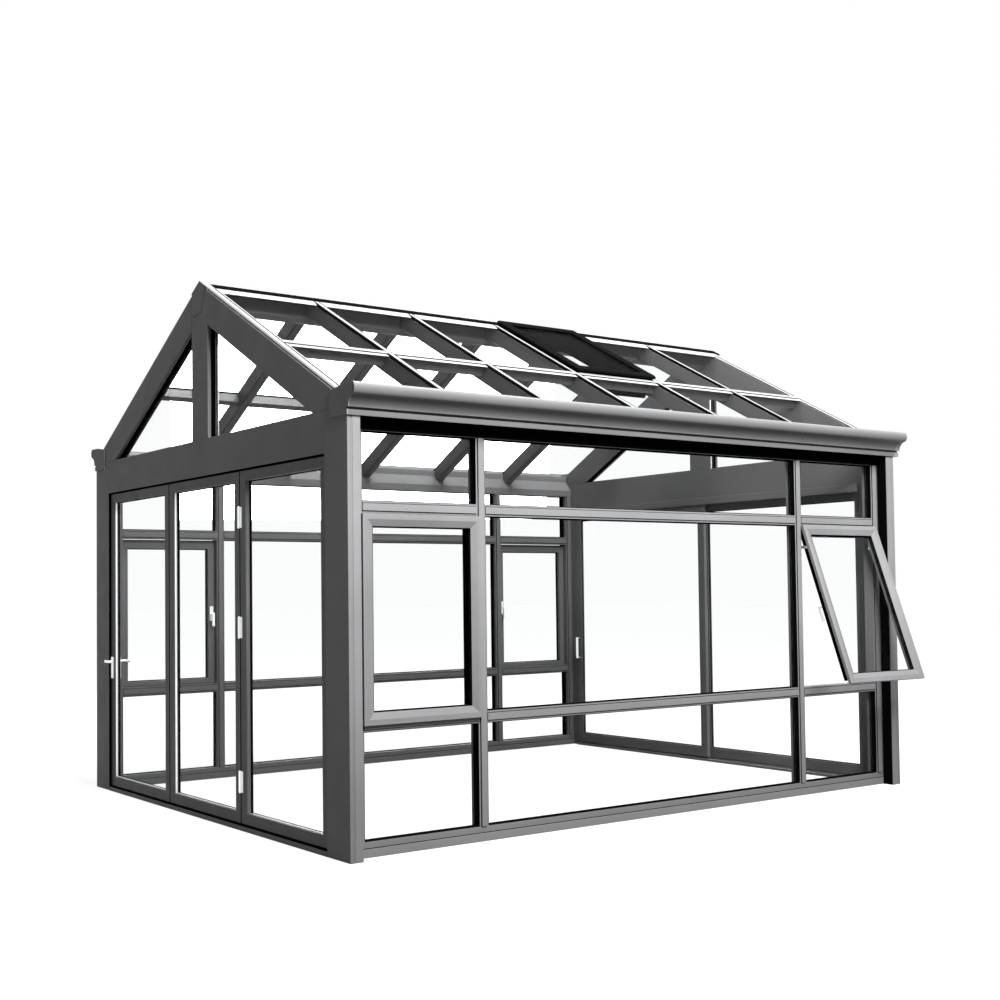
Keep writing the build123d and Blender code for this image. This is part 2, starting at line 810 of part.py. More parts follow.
leaf_face_x = leaf_inset - half_length
leaf_back_x = leaf_face_x + leaf_depth
leaf_width = (door_high - door_low - (leaf_count + 1) * door_gap) / leaf_count
leaf_ys = [door_high - (i + 1) * (leaf_width + door_gap) + leaf_width / 2 for i in range(leaf_count)]
leaf_top = beam_bottom - door_gap
leaf_light_width = leaf_width - 2 * leaf_stile
leaf_light_low = threshold_height + leaf_bottom_rail
leaf_light_high = leaf_top - leaf_top_rail
leaf_light_height = leaf_light_high - leaf_light_low
for i, y in enumerate(leaf_ys):
    with BuildPart() as leaf:
        with BuildSketch(Plane.YZ.offset(leaf_face_x)):
            with Locations((y, middle(threshold_height, leaf_top))):
                Rectangle(leaf_width, leaf_top - threshold_height)
            with Locations((y, middle(leaf_light_low, leaf_light_high))):
                Rectangle(leaf_light_width, leaf_light_height, mode=Mode.SUBTRACT)
        extrude(amount=leaf_depth)
        leaf_faces = leaf.faces().filter_by(Axis.X).sort_by(Axis.X)
        light_edges = leaf_faces[0].inner_wires()[0].edges() + leaf_faces[-1].inner_wires()[0].edges()
        chamfer(light_edges, leaf_bevel)
    keep(leaf, f"folding_leaf_{i + 1}")

with BuildPart() as folding_glass:
    for y in leaf_ys:
        with BuildSketch(Plane.YZ.offset(middle(leaf_face_x, leaf_back_x) - door_glass_thickness / 2)):
            with Locations((y, middle(leaf_light_low, leaf_light_high))):
                Rectangle(leaf_light_width - 2 * fit, leaf_light_height - 2 * fit)
        extrude(amount=door_glass_thickness)
keep(folding_glass, "folding_door_glass")

# Hinge pairs: outside between the second and third leaves, inside between the first and second
outer_joint = leaf_ys[1] - leaf_width / 2 - door_gap / 2
inner_joint = leaf_ys[0] - leaf_width / 2 - door_gap / 2
hinge_low = threshold_height + hinge_bottom_inset
hinge_high = leaf_top - hinge_top_inset
hinge_levels = (hinge_low, hinge_low + hinge_middle_share * (hinge_high - hinge_low), hinge_high)
with BuildPart() as hinges:
    for y, face_x, facing in ((outer_joint, leaf_face_x, -1), (inner_joint, leaf_back_x, 1)):
        plate_x = face_x + facing * hinge_plate_thickness / 2
        barrel_x = face_x + facing * (hinge_plate_thickness + hinge_barrel_offset)
        for z in hinge_levels:
            with BuildSketch(Plane.XY.offset(z - hinge_length / 2)):
                with Locations((plate_x, y)):
                    Rectangle(hinge_plate_thickness, hinge_plate_width)
                with Locations((barrel_x, y)):
                    Circle(hinge_barrel_radius)
            extrude(amount=hinge_length)
keep(hinges, "folding_door_hinges")

# Lever handles on both faces of the first leaf's outer stile
lever_y = leaf_ys[0] + leaf_width / 2 - leaf_stile / 2
door_neck_height = door_handle_height + door_neck_rise
door_lever_y = lever_y - (door_lever_length - door_lever_width) / 2
with BuildPart() as door_levers:
    for face_x, facing in ((leaf_face_x, -1), (leaf_back_x, 1)):
        face = Plane.YZ.offset(face_x)
        with BuildSketch(face):
            with Locations((lever_y, door_handle_height)):
                Rectangle(door_plate_width, door_plate_length)
        extrude(amount=facing * door_plate_thickness)
        with BuildSketch(face.offset(facing * door_plate_thickness)):
            with Locations((lever_y, door_neck_height)):
                Circle(door_neck_radius)
        extrude(amount=facing * door_neck_length)
        with BuildSketch(face.offset(facing * (door_plate_thickness + door_neck_length))):
            with Locations((door_lever_y, door_neck_height)):
                SlotOverall(door_lever_length, door_lever_width)
        extrude(amount=facing * door_lever_thickness)
keep(door_levers, "folding_door_levers")

# Sliding door in the right gable: a track with two ribs, and a head with guides that make two channels
outer_track_x = half_length - track_outer_inset
inner_track_x = outer_track_x - track_spacing
track_x = half_length - track_depth / 2
rib_top = track_height + track_rib_height
with BuildPart() as track:
    with BuildSketch():
        with Locations((track_x, plan_y)):
            Rectangle(track_depth, door_high - door_low)
    extrude(amount=track_height)
    with BuildSketch(Plane.XY.offset(track_height)):
        with Locations((outer_track_x, plan_y), (inner_track_x, plan_y)):
            Rectangle(track_rib_width, door_high - door_low)
    extrude(amount=track_rib_height)
keep(track, "sliding_door_track")

head_bottom = beam_bottom - head_thickness
guide_bottom = head_bottom - guide_height
with BuildPart() as head:
    with BuildSketch(Plane.XY.offset(head_bottom)):
        with Locations((track_x, plan_y)):
            Rectangle(track_depth, door_high - door_low)
    extrude(amount=head_thickness)
keep(head, "sliding_door_head")

channel_width = slide_leaf_depth + 2 * slide_clearance
with BuildPart() as guides:
    with BuildSketch(Plane.XY.offset(guide_bottom)):
        with Locations((track_x, plan_y)):
            Rectangle(track_depth, door_high - door_low)
        with Locations((outer_track_x, plan_y), (inner_track_x, plan_y)):
            Rectangle(channel_width, door_high - door_low, mode=Mode.SUBTRACT)
    extrude(amount=guide_height)
keep(guides, "sliding_door_guides")

# The fixed leaf stands on the outer rib, and the sliding leaf runs inside it on two rollers.
slide_top = head_bottom - slide_clearance
slide_bottom = rib_top + slide_clearance
fixed_span = (door_low, plan_y + slide_overlap / 2)
slide_span = (plan_y - slide_overlap / 2, door_high - slide_clearance)
slide_leaves = [
    ("fixed", outer_track_x, fixed_span, rib_top),
    ("sliding", inner_track_x, slide_span, slide_bottom),
]
for leaf_name, leaf_x, (low, high), foot in slide_leaves:
    light_low = foot + slide_rail
    light_high = slide_top - slide_rail
    light_place = (middle(low, high), middle(light_low, light_high))
    light_span = high - low - 2 * slide_stile
    with BuildPart() as slide_leaf:
        with BuildSketch(Plane.YZ.offset(leaf_x - slide_leaf_depth / 2)):
            with Locations((middle(low, high), middle(foot, slide_top))):
                Rectangle(high - low, slide_top - foot)
            with Locations(light_place):
                Rectangle(light_span, light_high - light_low, mode=Mode.SUBTRACT)
        extrude(amount=slide_leaf_depth)
        leaf_faces = slide_leaf.faces().filter_by(Axis.X).sort_by(Axis.X)
        light_edges = leaf_faces[0].inner_wires()[0].edges() + leaf_faces[-1].inner_wires()[0].edges()
        chamfer(light_edges, leaf_bevel)
        if leaf_name == "sliding":
            with BuildSketch(Plane.XY.offset(foot)):
                with Locations((leaf_x, low + roller_inset), (leaf_x, high - roller_inset)):
                    Rectangle(roller_width + 2 * fit, 2 * (roller_radius + slide_clearance))
            extrude(amount=roller_slot_depth, mode=Mode.SUBTRACT)
    keep(slide_leaf, f"{leaf_name}_leaf")

    with BuildPart() as slide_glass:
        with BuildSketch(Plane.YZ.offset(leaf_x - door_glass_thickness / 2)):
            with Locations(light_place):
                Rectangle(light_span - 2 * fit, light_high - light_low - 2 * fit)
        extrude(amount=door_glass_thickness)
    keep(slide_glass, f"{leaf_name}_leaf_glass")

slide_low, slide_high = slide_span
roller_z = rib_top + fit + roller_radius
with BuildPart() as rollers:
    with BuildSketch(Plane.YZ.offset(inner_track_x - roller_width / 2)):
        with Locations((slide_low + roller_inset, roller_z), (slide_high - roller_inset, roller_z)):
            Circle(roller_radius)
    extrude(amount=roller_width)
keep(rollers, "sliding_leaf_rollers")

# Pull handle on the inner face of the sliding leaf's closing stile
pull_y = slide_high - slide_stile / 2
pull_plane = Plane.YZ.offset(inner_track_x - slide_leaf_depth / 2)
pull_arm = pull_length / 2 - pull_radius
with BuildPart() as pull:
    with BuildSketch(pull_plane):
        with Locations((pull_y, pull_height - pull_arm), (pull_y, pull_height + pull_arm)):
            Circle(pull_radius)
    extrude(amount=-pull_standoff)
    with BuildSketch(pull_plane.offset(-pull_standoff)):
        with Locations((pull_y, pull_height)):
            SlotOverall(pull_length, 2 * pull_radius, rotation=90)
    extrude(amount=-2 * pull_radius)
keep(pull, "sliding_leaf_pull")
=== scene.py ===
import math

import bmesh
import bpy
from bpy.props import FloatProperty, FloatVectorProperty, PointerProperty
from bpy.types import Operator, Panel, PropertyGroup
from mathutils import Matrix, Vector


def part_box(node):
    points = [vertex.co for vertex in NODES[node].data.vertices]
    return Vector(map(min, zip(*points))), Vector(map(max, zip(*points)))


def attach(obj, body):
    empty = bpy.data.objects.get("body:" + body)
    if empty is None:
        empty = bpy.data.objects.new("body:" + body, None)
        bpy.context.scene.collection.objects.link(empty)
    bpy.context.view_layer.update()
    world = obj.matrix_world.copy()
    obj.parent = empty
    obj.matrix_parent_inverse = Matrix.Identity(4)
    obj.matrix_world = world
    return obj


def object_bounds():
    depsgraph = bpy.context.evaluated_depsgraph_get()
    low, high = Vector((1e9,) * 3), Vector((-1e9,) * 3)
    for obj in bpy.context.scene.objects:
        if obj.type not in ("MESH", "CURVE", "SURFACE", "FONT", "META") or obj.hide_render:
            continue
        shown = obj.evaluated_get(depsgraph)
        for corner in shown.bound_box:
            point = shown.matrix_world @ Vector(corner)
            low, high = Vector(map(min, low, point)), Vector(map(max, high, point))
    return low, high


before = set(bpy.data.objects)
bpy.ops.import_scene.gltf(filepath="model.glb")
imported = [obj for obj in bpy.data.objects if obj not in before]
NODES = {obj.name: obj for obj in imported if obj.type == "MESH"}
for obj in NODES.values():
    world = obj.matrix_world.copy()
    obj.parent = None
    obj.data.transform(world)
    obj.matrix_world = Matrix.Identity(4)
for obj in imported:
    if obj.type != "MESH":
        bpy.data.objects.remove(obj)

bl_info = {
    "name": "Glass Greenhouse Looks",
    "version": (1, 0, 0),
    "blender": (4, 5, 0),
    "location": "3D View > Sidebar > Greenhouse",
    "description": "Coats, glazes and fits out the packed greenhouse frame and sets it on a white stage",
    "category": "Object",
}

CAD_BOX = [list(corner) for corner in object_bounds()]
HOUSE, SLIDER = "house", "sliding_leaf"

# Frame nodes by the width of the rounding on their edges
BROAD_NODES = ("corner_posts", "gable_beams", "king_posts", "gable_rafters", "eaves_beams", "ridge_beam")
SLIM_NODES = (
    "rafters", "purlins", "glazing_bars", "ridge_cap", "gutter_end_plates",
    "wall_sills", "wall_uprights", "wall_transoms", "front_left_sash", "front_right_sash", "back_left_sash",
    "back_right_sash", "folding_door_threshold", "folding_leaf_1", "folding_leaf_2", "folding_leaf_3",
    "sliding_door_track", "sliding_door_head", "sliding_door_guides", "fixed_leaf", "sliding_leaf",
)
GUTTER_NODES = ("gutter_mouldings", "gutter_beds")
ROOF_WINDOW_NODES = ("skylight_curb", "skylight_sash")
ROOF_PANES = ("roof_glass", "skylight_glass")
WALL_PANES = ("gable_glass", "wall_glass", "window_glass", "folding_door_glass", "fixed_leaf_glass",
              "sliding_leaf_glass")
HANDLE_NODES = ("folding_door_hinges", "folding_door_levers", "window_handles", "sliding_leaf_pull")

WELD_DISTANCE = 1e-5
FLAT_ANGLE = math.radians(1)
# Edges sharper than this are rounded, in this many steps
SHARP_ANGLE, ROUND_STEPS = math.radians(25), 2
# Part of a pane's normal that tells a back window and a leaning one, and a height inside the room
BACK_FACING, LEANING, ROOM_HEIGHT = 0.5, 0.1, 1.2


class GreenhouseFinish(PropertyGroup):
    """Colours and surface values of the greenhouse's finishes"""

    coat_colour: FloatVectorProperty(
        name="Frame coat", description="Colour of the charcoal powder coat", subtype="COLOR",
        size=3, min=0, max=1, default=(0.105, 0.105, 0.107))
    coat_roughness: FloatProperty(
        name="Coat roughness", description="Roughness of the satin powder coat", subtype="FACTOR",
        min=0, max=1, default=0.42)
    coat_grain: FloatProperty(
        name="Coat grain", description="Size of the powder coat's fine grain", unit="LENGTH",
        min=0.0002, max=0.02, default=0.0016)
    # Painted shade: the gutters' coat is the frame's charcoal made darker
    gutter_colour: FloatVectorProperty(
        name="Gutter coat", description="Colour of the gutters' darker coat", subtype="COLOR",
        size=3, min=0, max=1, default=(0.062, 0.062, 0.063))
    roof_window_colour: FloatVectorProperty(
        name="Roof window coat", description="Colour of the roof window's black coat", subtype="COLOR",
        size=3, min=0, max=1, default=(0.0025, 0.0025, 0.0026))
    glass_tint: FloatVectorProperty(
        name="Glass tint", description="Colour of light that passes the glass", subtype="COLOR",
        size=3, min=0, max=1, default=(0.985, 0.993, 0.99))
    glass_ior: FloatProperty(
        name="Glass index", description="Refraction index of the clear coated glass",
        min=1, max=2, default=1.04)
    roof_ior: FloatProperty(
        name="Roof glass index", description="Refraction index of the roof's glare-free glass",
        min=1, max=2, default=1.012)
    wall_light: FloatProperty(
        name="Wall pane light", description="Share of a lamp's light that passes a wall pane",
        subtype="FACTOR", min=0, max=1, default=0.95)
    roof_light: FloatProperty(
        name="Roof pane light", description="Share of a lamp's light that passes a roof pane",
        subtype="FACTOR", min=0, max=1, default=0.6)
    metal_colour: FloatVectorProperty(
        name="Handle metal", description="Colour of the satin silver levers, hinges and pull",
        subtype="COLOR", size=3, min=0, max=1, default=(0.83, 0.83, 0.84))
    steel_colour: FloatVectorProperty(
        name="Steel", description="Colour of the stays, screws and runners", subtype="COLOR",
        size=3, min=0, max=1, default=(0.6, 0.6, 0.61))
    # Black of the seals, also used for the black pieces that paint shade
    rubber_colour: FloatVectorProperty(
        name="Seal rubber", description="Colour of the glazing seals", subtype="COLOR",
        size=3, min=0, max=1, default=(0.0016, 0.0016, 0.0016))


class GreenhouseFit(PropertyGroup):
    """Sizes of the trim that the frame carries"""

    broad_edge: FloatProperty(
        name="Post edge", description="Rounding of the posts' and beams' edges", unit="LENGTH",
        min=0, max=0.01, default=0.003)
    slim_edge: FloatProperty(
        name="Bar edge", description="Rounding of the bars', leaves' and sashes' edges", unit="LENGTH",
        min=0, max=0.005, default=0.0015)
    seal_width: FloatProperty(
        name="Seal width", description="Width of a glazing seal on the glass", unit="LENGTH",
        min=0.002, max=0.02, default=0.007)
    seal_height: FloatProperty(
        name="Seal height", description="Height of a glazing seal above the glass", unit="LENGTH",
        min=0.001, max=0.02, default=0.005)


class GreenhouseStage(PropertyGroup):
    """Camera, floor and light of the stage"""

    key_power: FloatProperty(
        name="Key light", description="Power of the soft light in front of the long wall", unit="POWER",
        min=0, default=5400)
    fill_power: FloatProperty(
        name="Fill light", description="Power of the soft light beside the folding door", unit="POWER",
        min=0, default=6)
    back_power: FloatProperty(
        name="Back light", description="Power of the soft light behind the house", unit="POWER",
        min=0, default=900)
    top_power: FloatProperty(
        name="Top light", description="Power of the soft light over the roof", unit="POWER",
        min=0, default=3600)
    ambient: FloatProperty(
        name="Ambient", description="Level of the light from all round", min=0, max=1, default=0.08)
    floor_size: FloatProperty(
        name="Floor size", description="Length of the floor's sides", unit="LENGTH", min=10, default=240)
    lens: FloatProperty(
        name="Lens", description="Focal length of the camera", unit="CAMERA",
        min=10, max=200, default=48.946)


def add_nodes(tree, *kinds):
    """New nodes of the given kinds in a node tree."""
    return [tree.nodes.new(kind) for kind in kinds]


def set_values(node, **values):
    """Set a node's inputs by their names, with _ for a space."""
    for socket, value in values.items():
        node.inputs[socket.replace("_", " ")].default_value = value


def wire(tree, *joins):
    """Link outputs to inputs, each join given as (node, output, node, input)."""
    for source, output, target, entry in joins:
        tree.links.new(source.outputs[output], target.inputs[entry])


COLOUR, VALUE = "NodeSocketColor", "NodeSocketFloat"


def new_group(name, inputs, outputs):
    """An empty shader node group with named sockets, and its input and output nodes."""
    group = bpy.data.node_groups.new(name, "ShaderNodeTree")
    for socket, kind, value in inputs:
        made = group.interface.new_socket(name=socket, in_out="INPUT", socket_type=kind)
        made.default_value = value
    for socket, kind in outputs:
        group.interface.new_socket(name=socket, in_out="OUTPUT", socket_type=kind)
    start, end = add_nodes(group, "NodeGroupInput", "NodeGroupOutput")
    return group, start, end


def object_noise(tree, scale, detail, roughness=0.5):
    """A noise texture in the object's own metres."""
    place, noise = add_nodes(tree, "ShaderNodeTexCoord", "ShaderNodeTexNoise")
    wire(tree, (place, "Object", noise, "Vector"))
    set_values(noise, Scale=scale, Detail=detail, Roughness=roughness)
    return noise


# The range that a noise texture's values mostly lie in
NOISE_LOW, NOISE_HIGH = 0.3, 0.7


def spread(tree, noise, low, high):
    """A noise's usual range spread to run from low to high."""
    (node,) = add_nodes(tree, "ShaderNodeMapRange")
    set_values(node, From_Min=NOISE_LOW, From_Max=NOISE_HIGH, To_Min=low, To_Max=high)
    wire(tree, (noise, "Fac", node, "Value"))
    return node


def scaled_colour(tree, colour, factor):
    """A colour times a grey factor, both given as (node, output)."""
    (mix,) = add_nodes(tree, "ShaderNodeMix")
    mix.data_type = "RGBA"
    mix.blend_type = "MULTIPLY"
    set_values(mix, Factor=1)
    wire(tree, (*colour, mix, "A"), (*factor, mix, "B"))
    return mix


def product(tree, first, second):
    """The product of two values, both given as (node, output)."""
    (node,) = add_nodes(tree, "ShaderNodeMath")
    node.operation = "MULTIPLY"
    wire(tree, (*first, node, 0), (*second, node, 1))
    return node


# Powder coat: scale, detail and roughness of its noises, and the spread of tone and roughness that they give
GRAIN_NOISE, MOTTLE_NOISE, STREAK_NOISE = (600, 3), (1.7, 4, 0.6), (9, 2)
MOTTLE_TONE, FLECK_TONE, STREAK_SPREAD = (0.9, 1.08), (0.94, 1.06), (0.9, 1.12)


def coat_grain_group():
    """Fine orange-peel grain and soft mottling of a powder coat."""
    if "Coat Grain" in bpy.data.node_groups:
        return bpy.data.node_groups["Coat Grain"]
    group, start, end = new_group(
        "Coat Grain",
        [("Colour", COLOUR, (0.1, 0.1, 0.1, 1)), ("Roughness", VALUE, 0.4), ("Grain Scale", VALUE, 600.0)],
        [("Colour", COLOUR), ("Roughness", VALUE), ("Height", VALUE)])
    grain = object_noise(group, *GRAIN_NOISE)
    mottle = object_noise(group, *MOTTLE_NOISE)
    streak = object_noise(group, *STREAK_NOISE)
    shade = spread(group, mottle, *MOTTLE_TONE)
    fleck = spread(group, grain, *FLECK_TONE)
    toned = scaled_colour(group, (start, "Colour"), (shade, "Result"))
    flecked = scaled_colour(group, (toned, "Result"), (fleck, "Result"))
    rough = product(group, (start, "Roughness"), (spread(group, streak, *STREAK_SPREAD), "Result"))
    wire(group, (start, "Grain Scale", grain, "Scale"), (flecked, "Result", end, "Colour"),
         (rough, "Value", end, "Roughness"), (grain, "Fac", end, "Height"))
    return group


# Pointiness at which an edge starts to look rubbed, and at which it looks fully so
RUB_START, RUB_FULL = 0.52, 0.62


def edge_polish_group():
    """Slightly paler colour on the rounded edges, where a coat is thin and rubbed."""
    if "Edge Polish" in bpy.data.node_groups:
        return bpy.data.node_groups["Edge Polish"]
    group, start, end = new_group(
        "Edge Polish",
        [("Colour", COLOUR, (0.1, 0.1, 0.1, 1)), ("Edge Colour", COLOUR, (0.2, 0.2, 0.2, 1)),
         ("Amount", VALUE, 0.5)],
        [("Colour", COLOUR)])
    geometry, ramp, mix = add_nodes(group, "ShaderNodeNewGeometry", "ShaderNodeMapRange", "ShaderNodeMix")
    mix.data_type = "RGBA"
    set_values(ramp, From_Min=RUB_START, From_Max=RUB_FULL)
    gain = product(group, (ramp, "Result"), (start, "Amount"))
    wire(group, (geometry, "Pointiness", ramp, "Value"), (gain, "Value", mix, "Factor"),
         (start, "Colour", mix, "A"), (start, "Edge Colour", mix, "B"), (mix, "Result", end, "Colour"))
    return group


def ground_shade_group():
    """Painted shade: a darker tone towards the ground, where less light falls."""
    if "Ground Shade" in bpy.data.node_groups:
        return bpy.data.node_groups["Ground Shade"]
    group, start, end = new_group(
        "Ground Shade",
        [("Colour", COLOUR, (0.1, 0.1, 0.1, 1)), ("Height", VALUE, 1.6), ("Low Share", VALUE, 0.7)],
        [("Colour", COLOUR)])
    place, split, ramp = add_nodes(
        group, "ShaderNodeTexCoord", "ShaderNodeSeparateXYZ", "ShaderNodeMapRange")
    ramp.interpolation_type = "SMOOTHSTEP"
    set_values(ramp, To_Max=1)
    shaded = scaled_colour(group, (start, "Colour"), (ramp, "Result"))
    wire(group, (place, "Object", split, "Vector"), (split, "Z", ramp, "Value"),
         (start, "Height", ramp, "From Max"), (start, "Low Share", ramp, "To Min"),
         (shaded, "Result", end, "Colour"))
    return group


# Brushing: stretch along the strokes, scale and detail of its noise, and the spread of tone and roughness
STROKE_STRETCH, STROKE_SCALE, STROKE_DETAIL = (1, 1, 0.03), 2200, 3
STROKE_TONE, STROKE_SPREAD = (0.93, 1.04), (0.85, 1.2)


def brushed_group():
    """Fine vertical brushing of bare metal."""
    if "Brushed Metal" in bpy.data.node_groups:
        return bpy.data.node_groups["Brushed Metal"]
    group, start, end = new_group(
        "Brushed Metal",
        [("Colour", COLOUR, (0.8, 0.8, 0.8, 1)), ("Roughness", VALUE, 0.3)],
        [("Colour", COLOUR), ("Roughness", VALUE), ("Height", VALUE)])
    place, stretch, noise = add_nodes(
        group, "ShaderNodeTexCoord", "ShaderNodeMapping", "ShaderNodeTexNoise")
    set_values(stretch, Scale=STROKE_STRETCH)
    set_values(noise, Scale=STROKE_SCALE, Detail=STROKE_DETAIL)
    shade = scaled_colour(group, (start, "Colour"), (spread(group, noise, *STROKE_TONE), "Result"))
    rough = product(group, (start, "Roughness"), (spread(group, noise, *STROKE_SPREAD), "Result"))
    wire(group, (place, "Object", stretch, "Vector"), (stretch, "Vector", noise, "Vector"),
         (shade, "Result", end, "Colour"), (rough, "Value", end, "Roughness"), (noise, "Fac", end, "Height"))
    return group


def new_material(name):
    """A material with one Principled shader, ready for its textures."""
    material = bpy.data.materials.new(name)
    material.use_nodes = True
    tree = material.node_tree
    tree.nodes.clear()
    shader, output = add_nodes(tree, "ShaderNodeBsdfPrincipled", "ShaderNodeOutputMaterial")
    wire(tree, (shader, "BSDF", output, "Surface"))
    return material, tree, shader, output


def place_group(tree, group, **values):
    """A node group placed in a material with its own values."""
    (node,) = add_nodes(tree, "ShaderNodeGroup")
    node.node_tree = group
    set_values(node, **values)
    return node


def bump(tree, source, shader, strength, distance):
    """A bump from a node's height into the shader's normal."""
    (node,) = add_nodes(tree, "ShaderNodeBump")
    set_values(node, Strength=strength, Distance=distance)
    wire(tree, (source, "Height", node, "Height"), (node, "Normal", shader, "Normal"))


def opaque(colour):
    return (*colour, 1)


# Coats: strength of the grain's bump, its depth as a share of the grain, amount of rubbing and height of the
# darker foot, which is painted shade; then share of colour at the ground under that shade, gain on rubbed
# edges and gloss of each coat
GRAIN_BUMP, GRAIN_DEPTH, RUB_AMOUNT, FOOT_SHADE_HEIGHT = 0.12, 0.2, 0.5, 2.0
FRAME_LOOK, GUTTER_LOOK, ROOF_WINDOW_LOOK, NYLON_LOOK = (
    (0.62, 1.7, 0.08), (1.0, 1.7, 0.08), (1.0, 2.0, 0.0), (1.0, 1.3, 0.08))
NYLON_COLOUR, NYLON_ROUGHNESS, NYLON_GRAIN = (0.05, 0.05, 0.05), 0.5, 0.0009


def coat_material(name, colour, roughness, grain, low_share, edge_gain, sheen):
    """Powder coat: grain, mottling, paler edges and painted shade that darkens its foot."""
    if name in bpy.data.materials:
        return bpy.data.materials[name]
    material, tree, shader, _ = new_material(name)
    coat = place_group(
        tree, coat_grain_group(), Colour=opaque(colour), Roughness=roughness, Grain_Scale=1 / grain)
    edge = place_group(
        tree, edge_polish_group(), Edge_Colour=opaque([edge_gain * c for c in colour]), Amount=RUB_AMOUNT)
    # Painted shade towards the ground
    foot = place_group(tree, ground_shade_group(), Height=FOOT_SHADE_HEIGHT, Low_Share=low_share)
    wire(tree, (coat, "Colour", edge, "Colour"), (edge, "Colour", foot, "Colour"),
         (foot, "Colour", shader, "Base Color"), (coat, "Roughness", shader, "Roughness"))
    bump(tree, coat, shader, GRAIN_BUMP, grain * GRAIN_DEPTH)
    set_values(shader, Specular_IOR_Level=sheen)
    return material


def frame_coat():
    finish = bpy.context.scene.greenhouse_finish
    return coat_material(
        "charcoal_coat", finish.coat_colour, finish.coat_roughness, finish.coat_grain, *FRAME_LOOK)


# Painted shade: the gutters wear a darker copy of the frame's charcoal coat
def gutter_coat():
    finish = bpy.context.scene.greenhouse_finish
    return coat_material(
        "gutter_coat", finish.gutter_colour, finish.coat_roughness, finish.coat_grain, *GUTTER_LOOK)


def roof_window_coat():
    finish = bpy.context.scene.greenhouse_finish
    return coat_material(
        "black_coat", finish.roof_window_colour, finish.coat_roughness, finish.coat_grain, *ROOF_WINDOW_LOOK)


# Film on the glass: scale, detail and roughness of its noise, where it starts and is full, and what it adds
FILM_NOISE, FILM_START, FILM_FULL, FILM_ROUGHNESS, FILM_TONE = (38, 5, 0.65), 0.62, 0.8, 0.02, 0.99


def glass_material(name, share, ior):
    """Clear glass with a faint film of dried drops, which lets a share of the lamps' light through."""
    if name in bpy.data.materials:
        return bpy.data.materials[name]
    finish = bpy.context.scene.greenhouse_finish
    material, tree, shader, output = new_material(name)
    film = object_noise(tree, *FILM_NOISE)
    ramp, tone, path, light, dim, through, mix = add_nodes(
        tree, "ShaderNodeMapRange", "ShaderNodeMix", "ShaderNodeLightPath", "ShaderNodeMath",
        "ShaderNodeMapRange", "ShaderNodeBsdfTransparent", "ShaderNodeMixShader")
    tone.data_type = "RGBA"
    light.operation = "MAXIMUM"
    set_values(dim, To_Min=1, To_Max=share)
    set_values(ramp, From_Min=FILM_START, From_Max=FILM_FULL, To_Max=FILM_ROUGHNESS)
    set_values(tone, A=opaque(finish.glass_tint), B=opaque([FILM_TONE * c for c in finish.glass_tint]))
    set_values(shader, Transmission_Weight=1, IOR=ior)
    wire(tree, (film, "Fac", ramp, "Value"), (film, "Fac", tone, "Factor"),
         (tone, "Result", shader, "Base Color"), (ramp, "Result", shader, "Roughness"),
         (path, "Is Shadow Ray", light, 0), (path, "Is Diffuse Ray", light, 1),
         (path, "Is Shadow Ray", dim, "Value"), (dim, "Result", through, "Color"),
         (light, "Value", mix, "Fac"), (shader, "BSDF", mix, 1), (through, "BSDF", mix, 2),
         (mix, "Shader", output, "Surface"))
    return material


def wall_pane():
    finish = bpy.context.scene.greenhouse_finish
    return glass_material("wall_pane", finish.wall_light, finish.glass_ior)


def roof_pane():
    finish = bpy.context.scene.greenhouse_finish
    return glass_material("roof_pane", finish.roof_light, finish.roof_ior)


# Bare metal and rubber: roughness, strength and depth of the bump, and the rubber's grain a metre
METAL_ROUGHNESS, METAL_BUMP, METAL_DEPTH = 0.3, 0.05, 0.0002
RUBBER_ROUGHNESS, RUBBER_BUMP, RUBBER_DEPTH, RUBBER_GRAIN = 0.7, 0.2, 0.0003, 900.0


def metal_material(name, colour):
    """Brushed or satin bare metal."""
    if name in bpy.data.materials:
        return bpy.data.materials[name]
    material, tree, shader, _ = new_material(name)
    brushed = place_group(tree, brushed_group(), Colour=opaque(colour), Roughness=METAL_ROUGHNESS)
    wire(tree, (brushed, "Colour", shader, "Base Color"), (brushed, "Roughness", shader, "Roughness"))
    bump(tree, brushed, shader, METAL_BUMP, METAL_DEPTH)
    set_values(shader, Metallic=1)
    return material


def handle_metal():
    return metal_material("satin_silver", bpy.context.scene.greenhouse_finish.metal_colour)


def stay_steel():
    return metal_material("brushed_steel", bpy.context.scene.greenhouse_finish.steel_colour)


def seal_rubber():
    """Dull black glazing rubber with a fine grain, also worn by the black flaps, strips, liners and lines
    that paint shade.
    """
    if "seal_rubber" in bpy.data.materials:
        return bpy.data.materials["seal_rubber"]
    material, tree, shader, _ = new_material("seal_rubber")
    coat = place_group(
        tree, coat_grain_group(), Colour=opaque(bpy.context.scene.greenhouse_finish.rubber_colour),
        Roughness=RUBBER_ROUGHNESS, Grain_Scale=RUBBER_GRAIN)
    wire(tree, (coat, "Colour", shader, "Base Color"), (coat, "Roughness", shader, "Roughness"))
    bump(tree, coat, shader, RUBBER_BUMP, RUBBER_DEPTH)
    set_values(shader, Specular_IOR_Level=0)
    return material


def roller_plastic():
    """Dark moulded nylon."""
    return coat_material("dark_nylon", NYLON_COLOUR, NYLON_ROUGHNESS, NYLON_GRAIN, *NYLON_LOOK)


def dress(nodes, material):
    """Give CAD nodes one material each in place of their packed one."""
    for node in nodes:
        mesh = NODES[node].data
        mesh.materials.clear()
        mesh.materials.append(material)


def round_edges(nodes, width):
    """Round the sharp edges of CAD nodes with modifiers."""
    for node in nodes:
        piece = NODES[node]
        weld = piece.modifiers.new("joined corners", "WELD")
        weld.merge_threshold = WELD_DISTANCE
        edge = piece.modifiers.new("rounded edges", "BEVEL")
        edge.width = width
        edge.segments = ROUND_STEPS
        edge.limit_method = "ANGLE"
        edge.angle_limit = SHARP_ANGLE
        piece.modifiers.new("even shading", "WEIGHTED_NORMAL")


